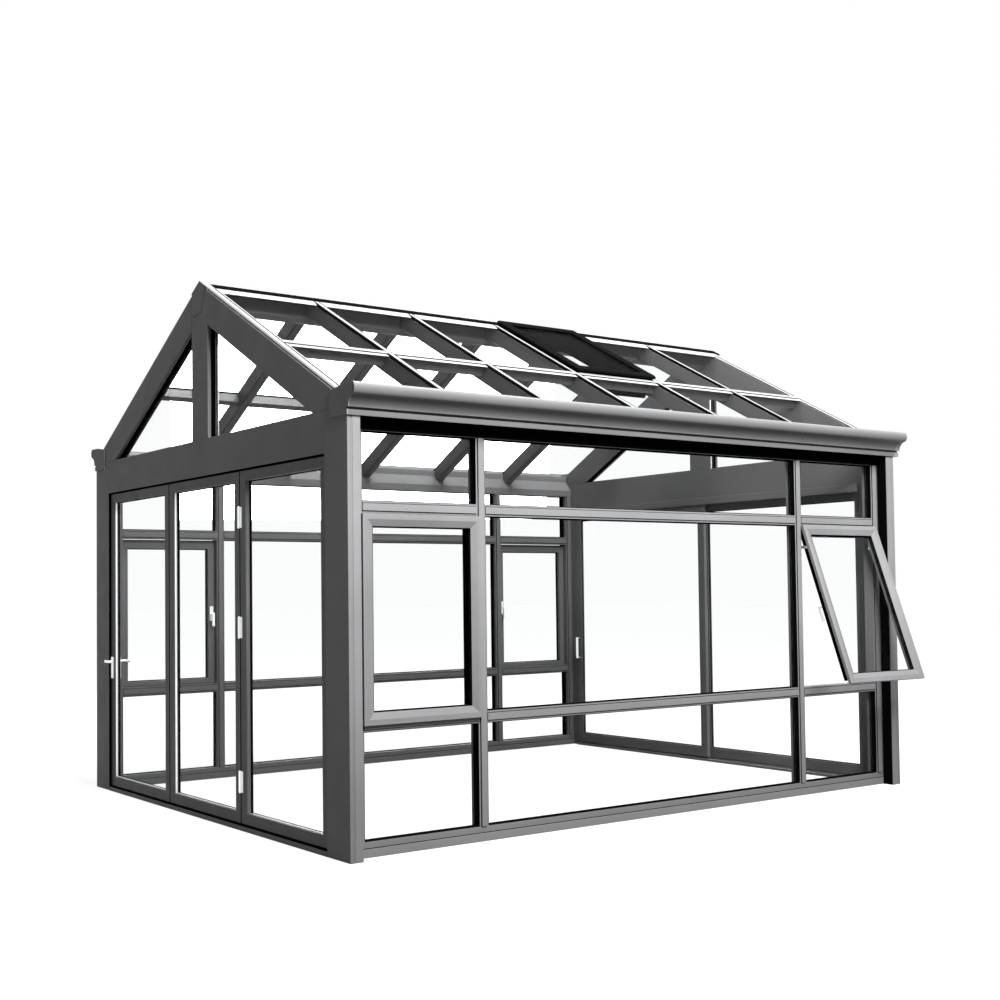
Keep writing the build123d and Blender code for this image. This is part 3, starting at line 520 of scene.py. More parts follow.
def finish_piece(name, shape, material, body):
    """Turn a bmesh into a piece that rides on a body."""
    bmesh.ops.recalc_face_normals(shape, faces=shape.faces)
    mesh = bpy.data.meshes.new(name)
    shape.to_mesh(mesh)
    shape.free()
    mesh.materials.append(material)
    piece = bpy.data.objects.new(name, mesh)
    bpy.context.scene.collection.objects.link(piece)
    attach(piece, body)


def islands(shape):
    """The faces of each separate solid of a bmesh."""
    left = set(shape.faces)
    while left:
        stack = [left.pop()]
        found = []
        while stack:
            face = stack.pop()
            found.append(face)
            for edge in face.edges:
                for other in edge.link_faces:
                    if other in left:
                        left.discard(other)
                        stack.append(other)
        yield found


def panes(node):
    """The outer and inner broad face of every pane of a glass node, as (corners, normal) pairs."""
    shape = bmesh.new()
    shape.from_mesh(NODES[node].data)
    bmesh.ops.remove_doubles(shape, verts=shape.verts, dist=WELD_DISTANCE)
    bmesh.ops.dissolve_limit(shape, angle_limit=FLAT_ANGLE, verts=shape.verts, edges=shape.edges)
    shape.normal_update()
    low, high = CAD_BOX
    centre = Vector(((low[0] + high[0]) / 2, (low[1] + high[1]) / 2, ROOM_HEIGHT))
    found = []
    for faces in islands(shape):
        broad = sorted(faces, key=lambda f: -f.calc_area())[:2]
        broad.sort(key=lambda f: -(f.calc_center_median() - centre).dot(f.normal))
        found.append([([v.co.copy() for v in f.verts], f.normal.copy()) for f in broad])
    shape.free()
    return found


def inset_loop(corners, normal, distance):
    """A flat loop of corners moved inwards by a distance."""
    moved = []
    for i, here in enumerate(corners):
        after = corners[(i + 1) % len(corners)]
        inward_in = normal.cross((here - corners[i - 1]).normalized())
        inward_out = normal.cross((after - here).normalized())
        share = distance / (1 + inward_in.dot(inward_out))
        moved.append(here + (inward_in + inward_out) * share)
    return moved


def add_ring(shape, corners, normal, section):
    """Sweep a closed section of (inset, height) pairs round a flat loop."""
    loops = [
        [shape.verts.new(p + normal * height) for p in inset_loop(corners, normal, inset)]
        for inset, height in section
    ]
    count = len(corners)
    for k, low in enumerate(loops):
        high = loops[(k + 1) % len(loops)]
        for i in range(count):
            j = (i + 1) % count
            shape.faces.new((low[i], low[j], high[j], high[i]))


def bead_section(width, height):
    """Section of a soft bead that lies in the corner between glass and frame."""
    return [(0, 0), (0, height), (0.45 * width, height), (0.85 * width, 0.6 * height), (width, 0)]


def shade_liner_section(depth, width):
    """Section of a black liner that paints the shade in a reveal, up to a depth above the glass."""
    return [(0, 0), (0, depth), (0.3 * width, depth), (0.5 * width, 0.3 * depth),
            (width, 0.12 * depth), (width, 0)]


# For each glass node: the name of its seals, their body, and the depth that they line outside and inside; a
# lined reveal gets a black liner as painted shade
SEALS = (
    ("wall_glass", "wall_seals_and_shade_liners", HOUSE, 0.0355, 0.0),
    ("window_glass", "window_seals_and_shade_liners", HOUSE, 0.0085, 0.062),
    ("gable_glass", "gable_seals_and_shade_liners", HOUSE, 0.03, 0.0),
    ("folding_door_glass", "folding_door_seals_and_shade_liners", HOUSE, None, 0.0155),
    ("fixed_leaf_glass", "fixed_leaf_seals", HOUSE, 0.0, 0.0),
    ("sliding_leaf_glass", "sliding_leaf_seals", SLIDER, 0.0, 0.0),
    ("skylight_glass", "skylight_seals", HOUSE, 0.0, 0.0),
)
# Sections of the spacer strips at the sides and foot of a folding leaf's outer reveal, as (inset, height)
SPACER = ((0.0001, 0.0002), (0.0001, 0.0115), (0.003, 0.0115), (0.004, 0.005), (0.007, 0.003),
          (0.007, 0.0002))
FOOT_SPACER = ((0.0001, 0.0002), (0.0001, 0.005), (0.002, 0.005), (0.005, 0.0025), (0.005, 0.0002))
# Section of the seal in the joint round a roof pane, as (inset, height) from the pane's top edge
ROOF_SEAL = (
    (-0.00025, -0.0118), (-0.00025, 0.0076), (0.0025, 0.0076), (0.0035, 0.0), (-0.00005, 0.0),
    (-0.00005, -0.0118))
# Inner face of the gables, thickness of their panes, and height, depth and edge of a king post's bead
GABLE_INNER, GABLE_PANE, GABLE_BEAD, BEAD_DEPTH, BEAD_EDGE = 2.315, 0.02, 0.62, 0.004, 0.001


class GREENHOUSE_OT_coat_frame(Operator):
    """Coat the frame, the doors and the windows, and round their edges"""

    bl_idname = "greenhouse.coat_frame"
    bl_label = "Coat Frame"

    def execute(self, context):
        fit = context.scene.greenhouse_fit
        dress(BROAD_NODES + SLIM_NODES, frame_coat())
        dress(GUTTER_NODES, gutter_coat())
        dress(ROOF_WINDOW_NODES, roof_window_coat())
        round_edges(BROAD_NODES, fit.broad_edge)
        round_edges(SLIM_NODES + GUTTER_NODES + ROOF_WINDOW_NODES, fit.slim_edge)
        return {"FINISHED"}


class GREENHOUSE_OT_glaze(Operator):
    """Glaze every pane and fit the seals, spacers and beads round it, with black liners as painted shade in
    the reveals and silver spacers as a painted highlight
    """

    bl_idname = "greenhouse.glaze"
    bl_label = "Glaze"

    def execute(self, context):
        fit = context.scene.greenhouse_fit
        dress(ROOF_PANES, roof_pane())
        dress(WALL_PANES, wall_pane())
        bead = bead_section(fit.seal_width, fit.seal_height)
        for node, name, body, outside, inside in SEALS:
            shape = bmesh.new()
            for faces in panes(node):
                facing = faces[0][1]
                lined = inside if facing.y < BACK_FACING and abs(facing.z) < LEANING else 0
                for (corners, normal), depth in zip(faces, (outside, lined)):
                    if depth is None:
                        continue
                    # A lined reveal gets a black liner that paints its shade; the rest get a bead
                    section = shade_liner_section(depth, fit.seal_width) if depth else bead
                    add_ring(shape, corners, normal, section)
            finish_piece(name, shape, seal_rubber(), body)
        shape = bmesh.new()
        for faces in panes("roof_glass"):
            add_ring(shape, *faces[0], ROOF_SEAL)
        finish_piece("roof_seals", shape, seal_rubber(), HOUSE)
        self.fit_spacers()
        self.fit_gable_beads()
        return {"FINISHED"}

    def fit_spacers(self):
        """Spacer strips at the sides of each folding leaf's pane and at its foot; the side strips are coated
        on the front leaf and bright silver on the others, a painted highlight for their lit reveals.
        """
        highlighted, coated, plain = bmesh.new(), bmesh.new(), bmesh.new()
        found = sorted(panes("folding_door_glass"), key=lambda faces: faces[0][0][0].y)
        for k, faces in enumerate(found):
            corners, normal = faces[0]
            middle, right, up, half_width, half_height = flat_frame(corners, normal)
            shape = highlighted if k else coated
            for made, section, edge, inward, along, half in (
                    (shape, SPACER, middle - right * half_width, right, up, half_height),
                    (shape, SPACER, middle + right * half_width, -right, up, half_height),
                    (plain, FOOT_SPACER, middle - up * half_height, up, right, half_width)):
                add_prism(made, section, -half, half,
                          lambda inset, rise, run: edge + inward * inset + normal * rise + along * run)
        # Silver on the other leaves: painted highlight for their lit reveals
        finish_piece("leaf_highlight_spacers", highlighted, handle_metal(), HOUSE)
        finish_piece("coated_spacers", coated, frame_coat(), HOUSE)
        finish_piece("plain_spacers", plain, stay_steel(), HOUSE)

    def fit_gable_beads(self):
        """A steel bead on the front side of each king post, inside the pane."""
        low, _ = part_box("king_posts")
        glass_low, glass_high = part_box("gable_glass")
        shape = bmesh.new()
        for end, outer, inner in ((-1, glass_low[0], -GABLE_INNER), (1, glass_high[0], GABLE_INNER)):
            near = outer - end * GABLE_PANE
            section = ((near, 0), (near, BEAD_DEPTH), (inner + end * BEAD_DEPTH, BEAD_DEPTH),
                       (inner, BEAD_EDGE), (inner, 0))
            add_prism(shape, section, glass_low[2], glass_low[2] + GABLE_BEAD,
                      lambda x, out, z: (x, low[1] - out, z))
        finish_piece("gable_beads", shape, stay_steel(), HOUSE)


def add_prism(shape, section, start, stop, place):
    """A closed prism: a section of flat points run from start to stop, set in space by a function."""
    low, high = ([shape.verts.new(place(u, v, run)) for u, v in section] for run in (start, stop))
    shape.faces.new(low)
    shape.faces.new(high[::-1])
    for i in range(len(section)):
        j = (i + 1) % len(section)
        shape.faces.new((low[i], low[j], high[j], high[i]))


def solid_boxes(node):
    """Lowest and highest corner of every solid of a CAD node."""
    shape = bmesh.new()
    shape.from_mesh(NODES[node].data)
    bmesh.ops.remove_doubles(shape, verts=shape.verts, dist=WELD_DISTANCE)
    found = []
    for faces in islands(shape):
        points = [v.co for f in faces for v in f.verts]
        found.append([[pick(p[k] for p in points) for k in range(3)] for pick in (min, max)])
    shape.free()
    return found


def outward(side, face, out):
    """Y of a point that stands out from a wall face; side is -1 at the front and 1 at the back."""
    return face + side * out


def flat_frame(corners, normal):
    """Middle, right and up directions and half sizes of an upright or leaning rectangle."""
    up = (Vector((0, 0, 1)) - normal * normal.z).normalized()
    right = up.cross(normal)
    across = [c.dot(right) for c in corners]
    along = [c.dot(up) for c in corners]
    depth = corners[0].dot(normal)
    middle = right * (min(across) + max(across)) / 2 + up * (min(along) + max(along)) / 2 + normal * depth
    return middle, right, up, (max(across) - min(across)) / 2, (max(along) - min(along)) / 2


# Sections of the walls' trim, in metres; the flaps and the post strips are black sheets that paint shade
SHADE_FLAP_RIBS = ((0, 0.002), (0.003, 0.002), (0.003, 0.006), (0.0015, 0.008), (0.0015, 0.064), (0.094, 0.064),
             (0.094, 0.0665), (0, 0.0665))
SHADE_STRIP_RIBS = ((0.004, 0), (0.086, 0), (0.086, 0.002), (0.082, 0.003), (0.078, 0.002), (0.012, 0.002),
              (0.008, 0.003), (0.004, 0.002))
SASH_SEAL = ((-0.0002, -0.003), (-0.0025, -0.006), (-0.0015, -0.02), (-0.0025, -0.037), (-0.0002, -0.0425))
# Reach of a wall window's body past its pane: at the sides, the top and the foot
SASH_BODY_MARGINS = (0.0533, 0.0683, 0.0353)
# Steps of the wall bars, the black line in their corners that paints shade, and the height of a sill's step
STEP_WIDTH, STEP_DEPTH, STEP_SHADE, SILL_STEP = 0.014, 0.008, 0.004, 0.05
STEP_SHADE_BULGE_SHARE = 0.6
# Folding door: gap round the leaves, seal in it and strip over a joint
LEAF_GAP = 0.0038
LEAF_SEAL = ((0.0001, 0), (0.0001, 0.016), (0.003, 0.016), (0.01, 0.003), (0.012, 0))
JOINT_STRIP = ((-0.0055, 0), (0.0055, 0), (0.004, 0.0012), (-0.004, 0.0012))
# Seam at a gable's apex as (towards the back, up) from the king post's top, and its width and height
APEX_SEAM = ((-0.096, -0.039), (-0.071, -0.102), (-0.029, -0.197), (0.005, -0.203), (0.088, -0.211),
             (0.108, -0.215))
SEAM_WIDTH, SEAM_RISE = 0.004, 0.0008
SEAM_SECTION = ((-1, -1), (1, -1), (0.5, 1), (-0.5, 1))
# Gaps at the ends of the shade flaps and at the foot and top of the post shade strips
SHADE_FLAP_GAP, STRIP_FOOT, STRIP_TOP = 0.001, 0.002, 0.004


class GREENHOUSE_OT_fit_trim(Operator):
    """Fit the black flaps under the gutters and strips beside the posts that paint shade there, and the
    seals of sashes and leaves
    """

    bl_idname = "greenhouse.fit_trim"
    bl_label = "Fit Trim"

    def execute(self, context):
        self.fit_flaps()
        self.fit_post_strips()
        self.fit_sash_seals()
        self.fit_bar_gaskets()
        self.fit_leaf_seals()
        self.fit_apex_seams()
        return {"FINISHED"}

    def fit_flaps(self):
        """Painted shade: a black ribbed flap on each eaves beam's outer face and under the gutter's bed,
        where shade falls under the gutter.
        """
        low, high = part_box("eaves_beams")
        shape = bmesh.new()
        for side, face in ((-1, low[1]), (1, high[1])):
            add_prism(shape, SHADE_FLAP_RIBS, low[0] + SHADE_FLAP_GAP, high[0] - SHADE_FLAP_GAP,
                      lambda out, rise, x: (x, outward(side, face, out), low[2] + rise))
        finish_piece("eaves_shade_flaps", shape, seal_rubber(), HOUSE)

    def fit_post_strips(self):
        """Painted shade: a black ribbed strip on the side of each post that stands out past the wall, which
        lies in shade.
        """
        low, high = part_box("corner_posts")
        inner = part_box("eaves_beams")[1][0]
        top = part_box("gutter_beds")[0][2]
        shape = bmesh.new()
        for end in (-1, 1):
            for side, face in ((-1, low[1]), (1, high[1])):
                add_prism(shape, SHADE_STRIP_RIBS, STRIP_FOOT, top - STRIP_TOP,
                          lambda back, out, z: (end * (inner - out), outward(-side, face, back), z))
        finish_piece("post_shade_strips", shape, seal_rubber(), HOUSE)

    def fit_sash_seals(self):
        """A seal round the body of each wall window."""
        margin, top, bottom = SASH_BODY_MARGINS
        shape = bmesh.new()
        for faces in panes("window_glass"):
            corners, normal = faces[0]
            middle, right, up, half_width, half_height = flat_frame(corners, normal)
            reach = half_width + margin
            loop = [middle + right * x + up * y for x, y in (
                (-reach, -half_height - bottom), (reach, -half_height - bottom),
                (reach, half_height + top), (-reach, half_height + top))]
            add_ring(shape, loop, normal, SASH_SEAL)
        finish_piece("sash_seals", shape, seal_rubber(), HOUSE)

    def fit_bar_gaskets(self):
        """Painted shade: thin black lines in the corners of the wall bars' and sills' steps, outside and
        inside.
        """
        bulge = STEP_SHADE * STEP_SHADE_BULGE_SHARE
        corner = ((0, 0), (STEP_SHADE, 0), (bulge, bulge), (0, STEP_SHADE))
        shape = bmesh.new()
        for node, across, along in (("wall_uprights", 0, 2), ("wall_transoms", 2, 0)):
            for low, high in solid_boxes(node):
                for edge, turn in ((low[across] + STEP_WIDTH, -1), (high[across] - STEP_WIDTH, 1)):
                    for side, face in ((-1, low[1] + STEP_DEPTH), (1, high[1] - STEP_DEPTH)):

                        def place(out, rise, run):
                            point = [0, outward(side, face, rise), 0]
                            point[across] = edge + turn * out
                            point[along] = run
                            return point

                        add_prism(shape, corner, low[along], high[along], place)
        for low, high in solid_boxes("wall_sills"):
            for side, face in ((-1, low[1] + STEP_DEPTH), (1, high[1] - STEP_DEPTH)):
                add_prism(shape, corner, low[0], high[0],
                          lambda rise, out, x: (x, outward(side, face, out), low[2] + SILL_STEP + rise))
        finish_piece("bar_step_shades", shape, seal_rubber(), HOUSE)

    def fit_leaf_seals(self):
        """A seal round the folding door's opening and a strip over each joint between its leaves."""
        boxes = [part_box(f"folding_leaf_{k}") for k in (1, 2, 3)]
        face, top = boxes[0][0][0], boxes[0][1][2]
        foot = boxes[0][0][2]
        ends = sorted(y for low, high in boxes for y in (low[1], high[1]))
        outward_x = Vector((-1, 0, 0))
        start, stop, head = ends[0] - LEAF_GAP, ends[-1] + LEAF_GAP, top + LEAF_GAP
        loop = [Vector((face, y, z)) for y, z in ((start, foot), (start, head), (stop, head), (stop, foot))]
        if (loop[1] - loop[0]).cross(loop[2] - loop[1]).dot(outward_x) < 0:
            loop.reverse()
        shape = bmesh.new()
        add_ring(shape, loop, outward_x, LEAF_SEAL)
        for low_end, high_end in (ends[1:3], ends[3:5]):
            middle = (low_end + high_end) / 2
            add_prism(shape, JOINT_STRIP, foot, top,
                      lambda across, out, z: (face - out, middle + across, z))
        finish_piece("leaf_seals", shape, seal_rubber(), HOUSE)

    def fit_apex_seams(self):
        """The curved seam where the two gable rafters meet, on both gables."""
        low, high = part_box("king_posts")
        middle = (low[1] + high[1]) / 2
        shape = bmesh.new()
        for end, face in ((-1, low[0]), (1, high[0])):
            for here, after in zip(APEX_SEAM, APEX_SEAM[1:]):
                start, stop = (Vector((face, middle + y, high[2] + z)) for y, z in (here, after))
                along = (stop - start).normalized()
                across = along.cross(Vector((1, 0, 0))) * SEAM_WIDTH / 2
                out = Vector((end * SEAM_RISE, 0, 0))
                add_prism(shape, SEAM_SECTION, 0, (stop - start).length,
                          lambda u, v, run: start + along * run + across * u + out * v)
        finish_piece("apex_seams", shape, seal_rubber(), HOUSE)


# Sections of the roof's trim as (down the slope, up) or (across, up) from the edge of a pane, in metres
# The ridge strip is black and paints the shade under the ridge cap's lip
RIDGE_SHADE_STRIP = ((-0.085, 0.0075), (-0.084, 0.0112), (-0.05, 0.0102), (-0.014, 0.0112), (0.0024, 0.0098),
               (0.0024, 0.0005), (0.0001, 0.0005), (0.0001, 0.0075))
RIDGE_FLASHING = ((0.004, 0.0002), (0.004, 0.0075), (0.0065, 0.0085), (0.08, 0.0028), (0.085, 0.0015),
                  (0.085, 0.0002))
PURLIN_FLANGE = ((0.004, 0.0002), (0.0045, 0.0018), (0.038, 0.0018), (0.043, 0.0008), (0.044, 0.0002))
BAR_LIP = ((-0.0001, 0.0002), (-0.0078, 0.0079), (-0.0084, 0.009), (-0.007, 0.0096), (0.009, 0.0034),
           (0.012, 0.0002))
VERGE_RIB = ((0.0038, 0.0002), (0.0045, 0.0035), (0.01, 0.0042), (0.019, 0.0042), (0.024, 0.0002))
# Boards of the roof window's shaft as (inward, up) from the lining's foot
SHAFT_BOARD = ((0.001, -0.0002), (0.001, -0.037), (0.003, -0.04), (0.014, -0.04), (0.016, -0.037),
               (0.016, -0.0002))
# Gaps at the near and far end of the ridge strips
STRIP_START, STRIP_END = 0.055, 0.004
# Half-round roll on the gutter's lip as (out, up) from its outer top edge: middle, radii, steps and foot
ROLL_MIDDLE, ROLL_RADII, ROLL_STEPS = (-0.006, -0.0315), (0.024, 0.0355), 18
ROLL_FOOT = [(-0.0115, -0.0655), (-0.004, -0.05), (-0.004, -0.001)]
ROLL_TURNS = [math.pi * k / ROLL_STEPS for k in range(ROLL_STEPS + 1)]
GUTTER_ROLL = [
    (ROLL_MIDDLE[0] + ROLL_RADII[0] * math.sin(t), ROLL_MIDDLE[1] + ROLL_RADII[1] * math.cos(t))
    for t in ROLL_TURNS] + ROLL_FOOT


class GREENHOUSE_OT_trim_roof(Operator):
    """Fit the roof's flashings, flanges, lips and ribs, its window's shaft and the gutters' rolls"""

    bl_idname = "greenhouse.trim_roof"
    bl_label = "Trim Roof"

    def execute(self, context):
        slopes = [self.pane_frame(*faces[0]) for faces in panes("roof_glass")]
        if not slopes:
            raise RuntimeError("The roof has no panes to trim")
        highest = max(origin.z for origin, *_ in slopes)
        uppers = [s for s in slopes if s[0].z > highest - WELD_DISTANCE]
        lowers = [s for s in slopes if s[0].z <= highest - WELD_DISTANCE]
        self.run_across("ridge_flashings", uppers, RIDGE_FLASHING, frame_coat())
        self.run_across("purlin_flanges", lowers, PURLIN_FLANGE, frame_coat())
        self.fit_ridge_strips(uppers)
        self.fit_bar_lips(slopes)
        self.fit_shaft()
        self.fit_rolls()
        return {"FINISHED"}

    def pane_frame(self, corners, normal):
        """Middle of a pane's top edge, its direction down the slope and outward, half width and length."""
        side = 1 if normal.y > 0 else -1
        down = Vector((0, side * normal.z, -abs(normal.y)))
        runs = [c.dot(down) for c in corners]
        xs = [c.x for c in corners]
        origin = next(c for c in corners if c.dot(down) < min(runs) + WELD_DISTANCE).copy()
        origin.x = (min(xs) + max(xs)) / 2
        return origin, down, normal, (max(xs) - min(xs)) / 2, max(runs) - min(runs)

    def run_across(self, name, slopes, section, material):
        """A strip along the top edge of each pane."""
        shape = bmesh.new()
        for origin, down, normal, half, _ in slopes:
            add_prism(shape, section, -half, half,
                      lambda run, rise, x: origin + down * run + normal * rise + Vector((x, 0, 0)))
        finish_piece(name, shape, material, HOUSE)

    def fit_ridge_strips(self, uppers):
        """Painted shade: a black strip along each lower edge of the ridge cap, where its lip shades the
        glass.
        """
        low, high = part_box("ridge_cap")
        shape = bmesh.new()
        for side in (-1, 1):
            origin, down, normal = next(s[:3] for s in uppers if s[2].y * side > 0)
            add_prism(shape, RIDGE_SHADE_STRIP, low[0] + STRIP_START - origin.x, high[0] - STRIP_END - origin.x,
                      lambda run, rise, x: origin + down * run + normal * rise + Vector((x, 0, 0)))
        finish_piece("ridge_shade_strips", shape, seal_rubber(), HOUSE)

    def fit_bar_lips(self, slopes):
        """A black lip on both sides of each glazing bar, and a coated rib beside the gables."""
        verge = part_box("roof_glass")[1][0] - WELD_DISTANCE
        lips, ribs = bmesh.new(), bmesh.new()
        for origin, down, normal, half, length in slopes:
            for turn in (-1, 1):
                edge, inward = origin + Vector((turn * half, 0, 0)), Vector((-turn, 0, 0))
                shape, section = (ribs, VERGE_RIB) if abs(edge.x) > verge else (lips, BAR_LIP)
                add_prism(shape, section, 0, length,
                          lambda inset, rise, run: edge + inward * inset + normal * rise + down * run)
        finish_piece("bar_lips", lips, seal_rubber(), HOUSE)
        finish_piece("verge_ribs", ribs, frame_coat(), HOUSE)

    def fit_shaft(self):
        """The black shaft that carries on below the roof window's lining."""
        (corners, normal), _ = panes("skylight_glass")[0]
        down = self.pane_frame(corners, normal)[1]
        points = [v.co for v in NODES["skylight_curb"].data.vertices]
        foot = min(p.dot(normal) for p in points)
        runs = [p.dot(down) for p in points if p.dot(normal) < foot + WELD_DISTANCE]
        xs = [p.x for p in points if p.dot(normal) < foot + WELD_DISTANCE]
        loop = [Vector((x, 0, 0)) + down * run + normal * foot for x, run in (
            (min(xs), max(runs)), (max(xs), max(runs)), (max(xs), min(runs)), (min(xs), min(runs)))]
        shape = bmesh.new()
        add_ring(shape, loop, normal, SHAFT_BOARD)
        finish_piece("skylight_shaft", shape, roof_window_coat(), HOUSE)

    def fit_rolls(self):
        """A half-round roll on the lip of each gutter."""
        low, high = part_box("gutter_end_plates")
        shape = bmesh.new()
        for side, face in ((-1, low[1]), (1, high[1])):
            add_prism(shape, GUTTER_ROLL, low[0], high[0],
                      lambda out, rise, x: (x, outward(side, face, out), high[2] + rise))
        finish_piece("gutter_rolls", shape, gutter_coat(), HOUSE)


# Sections of hardware as (radius, along) or (across, up), and the places of its pieces, in metres
LATHE_STEPS = 20
HANDLE_EDGE = 0.002
# Hinges: shortest barrel, its radius, thickness of the plate, and where its screws sit across and along
HINGE_LENGTH, BARREL_RADIUS, PLATE, SCREW_OFFSET, SCREW_SHARE = 0.1, 0.007, 0.003, 0.019, 0.62
HINGE_TIP = ((0, 0.0055), (0.0035, 0.0048), (0.0058, 0.0025), (0.0064, 0.0002), (0, 0.0002))
KNUCKLE = ((0.0069, -0.0015), (0.0077, -0.001), (0.0077, 0.001), (0.0069, 0.0015))
SCREW = ((0, 0.0002), (0.0042, 0.0002), (0.0038, 0.001), (0.002, 0.0012), (0.0016, 0.0006), (0, 0.0006))
# Door levers: half the plate's width, its thickness, and how far neck and lock cylinder are from its middle
LEVER_HALF_WIDTH, LEVER_PLATE, NECK_RISE, CYLINDER_DROP = 0.02, 0.008, 0.05, 0.045
ROSE = ((0.0082, 0.0002), (0.0155, 0.0002), (0.0155, 0.0028), (0.0138, 0.0042), (0.0082, 0.0042))
CYLINDER_HEIGHT, SLOT_HEIGHT = 0.002, 0.0004
CYLINDER = ((0, CYLINDER_HEIGHT), (0.0072, CYLINDER_HEIGHT), (0.0085, 0.0012), (0.0085, 0.0002), (0, 0.0002))
KEY_SLOT = ((-0.0006, -0.004), (0.0006, -0.004), (0.0006, 0.002), (0.0014, 0.0035), (0, 0.0045),
            (-0.0014, 0.0035), (-0.0006, 0.002))
# Pins of the stays and axles of the rollers: radius, reach past the piece, and reach of the full radius
STAY_PIN, ROLLER_AXLE, PIN_CHAMFER, PIN_INSET = (0.005, 0.003, 0.001), (0.004, 0.0015, 0), 0.001, 0.008
# Brush seal of the sliding leaf as (out, along) from its outer face, and the gap at its ends
BRUSH = ((0.0002, 0.012), (0.004, 0.011), (0.013, 0.012), (0.0135, 0.015), (0.013, 0.018), (0.004, 0.019),
         (0.0002, 0.018))
BRUSH_END = 0.03


def add_lathe(shape, section, centre, axis):
    """Turn a section of (radius, along) pairs round an axis; one that starts off the axis is a ring."""
    axis = Vector(axis)
    side = axis.orthogonal().normalized()
    across = axis.cross(side)
    closed = section[0][0] > 0
    rows = []
    for radius, along in section:
        middle = Vector(centre) + axis * along
        if not radius:
            rows.append([shape.verts.new(middle)] * LATHE_STEPS)
            continue
        turns = [2 * math.pi * k / LATHE_STEPS for k in range(LATHE_STEPS)]
        spokes = [side * (radius * math.cos(t)) + across * (radius * math.sin(t)) for t in turns]
        rows.append([shape.verts.new(middle + spoke) for spoke in spokes])
    for k in range(len(rows) if closed else len(rows) - 1):
        low, high = rows[k], rows[(k + 1) % len(rows)]
        for i in range(LATHE_STEPS):
            j = (i + 1) % LATHE_STEPS
            corners = dict.fromkeys((low[i], low[j], high[j], high[i]))
            shape.faces.new(tuple(corners))


def add_pin(shape, centre, half, radius, reach, shoulder):
    """A pin along X with chamfered ends that reach past a piece of a half width."""
    slim = radius - PIN_CHAMFER
    tip, full = half + reach, half + shoulder
    section = ((0, -tip), (slim, -tip), (radius, -full), (radius, full), (slim, tip), (0, tip))
    add_lathe(shape, section, centre, (1, 0, 0))


class GREENHOUSE_OT_fit_hardware(Operator):
    """Finish the hinges, levers, stays, pull and rollers, and fit their pins, screws, roses and seals"""

    bl_idname = "greenhouse.fit_hardware"
    bl_label = "Fit Hardware"

    def execute(self, context):
        dress(HANDLE_NODES, handle_metal())
        dress(("window_stays",), stay_steel())
        dress(("sliding_leaf_rollers",), roller_plastic())
        round_edges(HANDLE_NODES, HANDLE_EDGE)
        self.fit_hinges()
        self.fit_door_levers()
        self.fit_stay_pins()
        self.fit_slider()
        return {"FINISHED"}

    def fit_hinges(self):
        """Domed tips and knuckle joints on each hinge's barrel, and screws in its plate."""
        low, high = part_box("folding_leaf_1")
        centre = (low[0] + high[0]) / 2
        tips, screws = bmesh.new(), bmesh.new()
        for start, stop in solid_boxes("folding_door_hinges"):
            end = -1 if start[0] < centre else 1
            if (stop[2] - start[2]) < HINGE_LENGTH:
                continue
            face = low[0] if end < 0 else high[0]
            barrel = (start[0] if end < 0 else stop[0]) - end * BARREL_RADIUS
            middle = [barrel, (start[1] + stop[1]) / 2, (start[2] + stop[2]) / 2]
            half = (stop[2] - start[2]) / 2
            for turn in (-1, 1):
                add_lathe(tips, HINGE_TIP, (*middle[:2], middle[2] + turn * half), (0, 0, turn))
                add_lathe(tips, KNUCKLE, (*middle[:2], middle[2] + turn * half / 3), (0, 0, 1))
                for lift in (-SCREW_SHARE * half, SCREW_SHARE * half):
                    place = (face + end * PLATE, middle[1] + turn * SCREW_OFFSET, middle[2] + lift)
                    add_lathe(screws, SCREW, place, (end, 0, 0))
        finish_piece("hinge_tips", tips, handle_metal(), HOUSE)
        finish_piece("hinge_screws", screws, stay_steel(), HOUSE)

    def fit_door_levers(self):
        """A rose round each door lever's neck, a lock cylinder below it and its key slot."""
        leaf_low, leaf_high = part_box("folding_leaf_1")
        low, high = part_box("folding_door_levers")
        y, z = high[1] - LEVER_HALF_WIDTH, (low[2] + high[2]) / 2
        roses, slots = bmesh.new(), bmesh.new()
        for end, face in ((-1, leaf_low[0]), (1, leaf_high[0])):
            plate = face + end * LEVER_PLATE
            add_lathe(roses, ROSE, (plate, y, z + NECK_RISE), (end, 0, 0))
            lock = z - CYLINDER_DROP
            add_lathe(roses, CYLINDER, (plate, y, lock), (end, 0, 0))
            add_prism(slots, KEY_SLOT, CYLINDER_HEIGHT, CYLINDER_HEIGHT + SLOT_HEIGHT,
                      lambda across, up, out: (plate + end * out, y + across, lock + up))
        finish_piece("lever_roses", roses, handle_metal(), HOUSE)
        finish_piece("key_slots", slots, seal_rubber(), HOUSE)

    def fit_stay_pins(self):
        """Pivot pins through both ends of each window stay."""
        shape = bmesh.new()
        for low, high in solid_boxes("window_stays"):
            x, _, z = ((a + b) / 2 for a, b in zip(low, high))
            for y in (low[1] + PIN_INSET, high[1] - PIN_INSET):
                add_pin(shape, (x, y, z), (high[0] - low[0]) / 2, *STAY_PIN)
        finish_piece("stay_pins", shape, stay_steel(), HOUSE)

    def fit_slider(self):
        """Axles of the sliding leaf's rollers and the brush seal that runs along the fixed leaf."""
        axles, brush = bmesh.new(), bmesh.new()
        for low, high in solid_boxes("sliding_leaf_rollers"):
            middle = [(a + b) / 2 for a, b in zip(low, high)]
            add_pin(axles, middle, (high[0] - low[0]) / 2, *ROLLER_AXLE)
        low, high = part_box("sliding_leaf")
        add_prism(brush, BRUSH, low[2] + BRUSH_END, high[2] - BRUSH_END,
                  lambda out, along, z: (high[0] + out, low[1] + along, z))
        finish_piece("roller_axles", axles, stay_steel(), SLIDER)
        finish_piece("interlock_brush", brush, seal_rubber(), SLIDER)


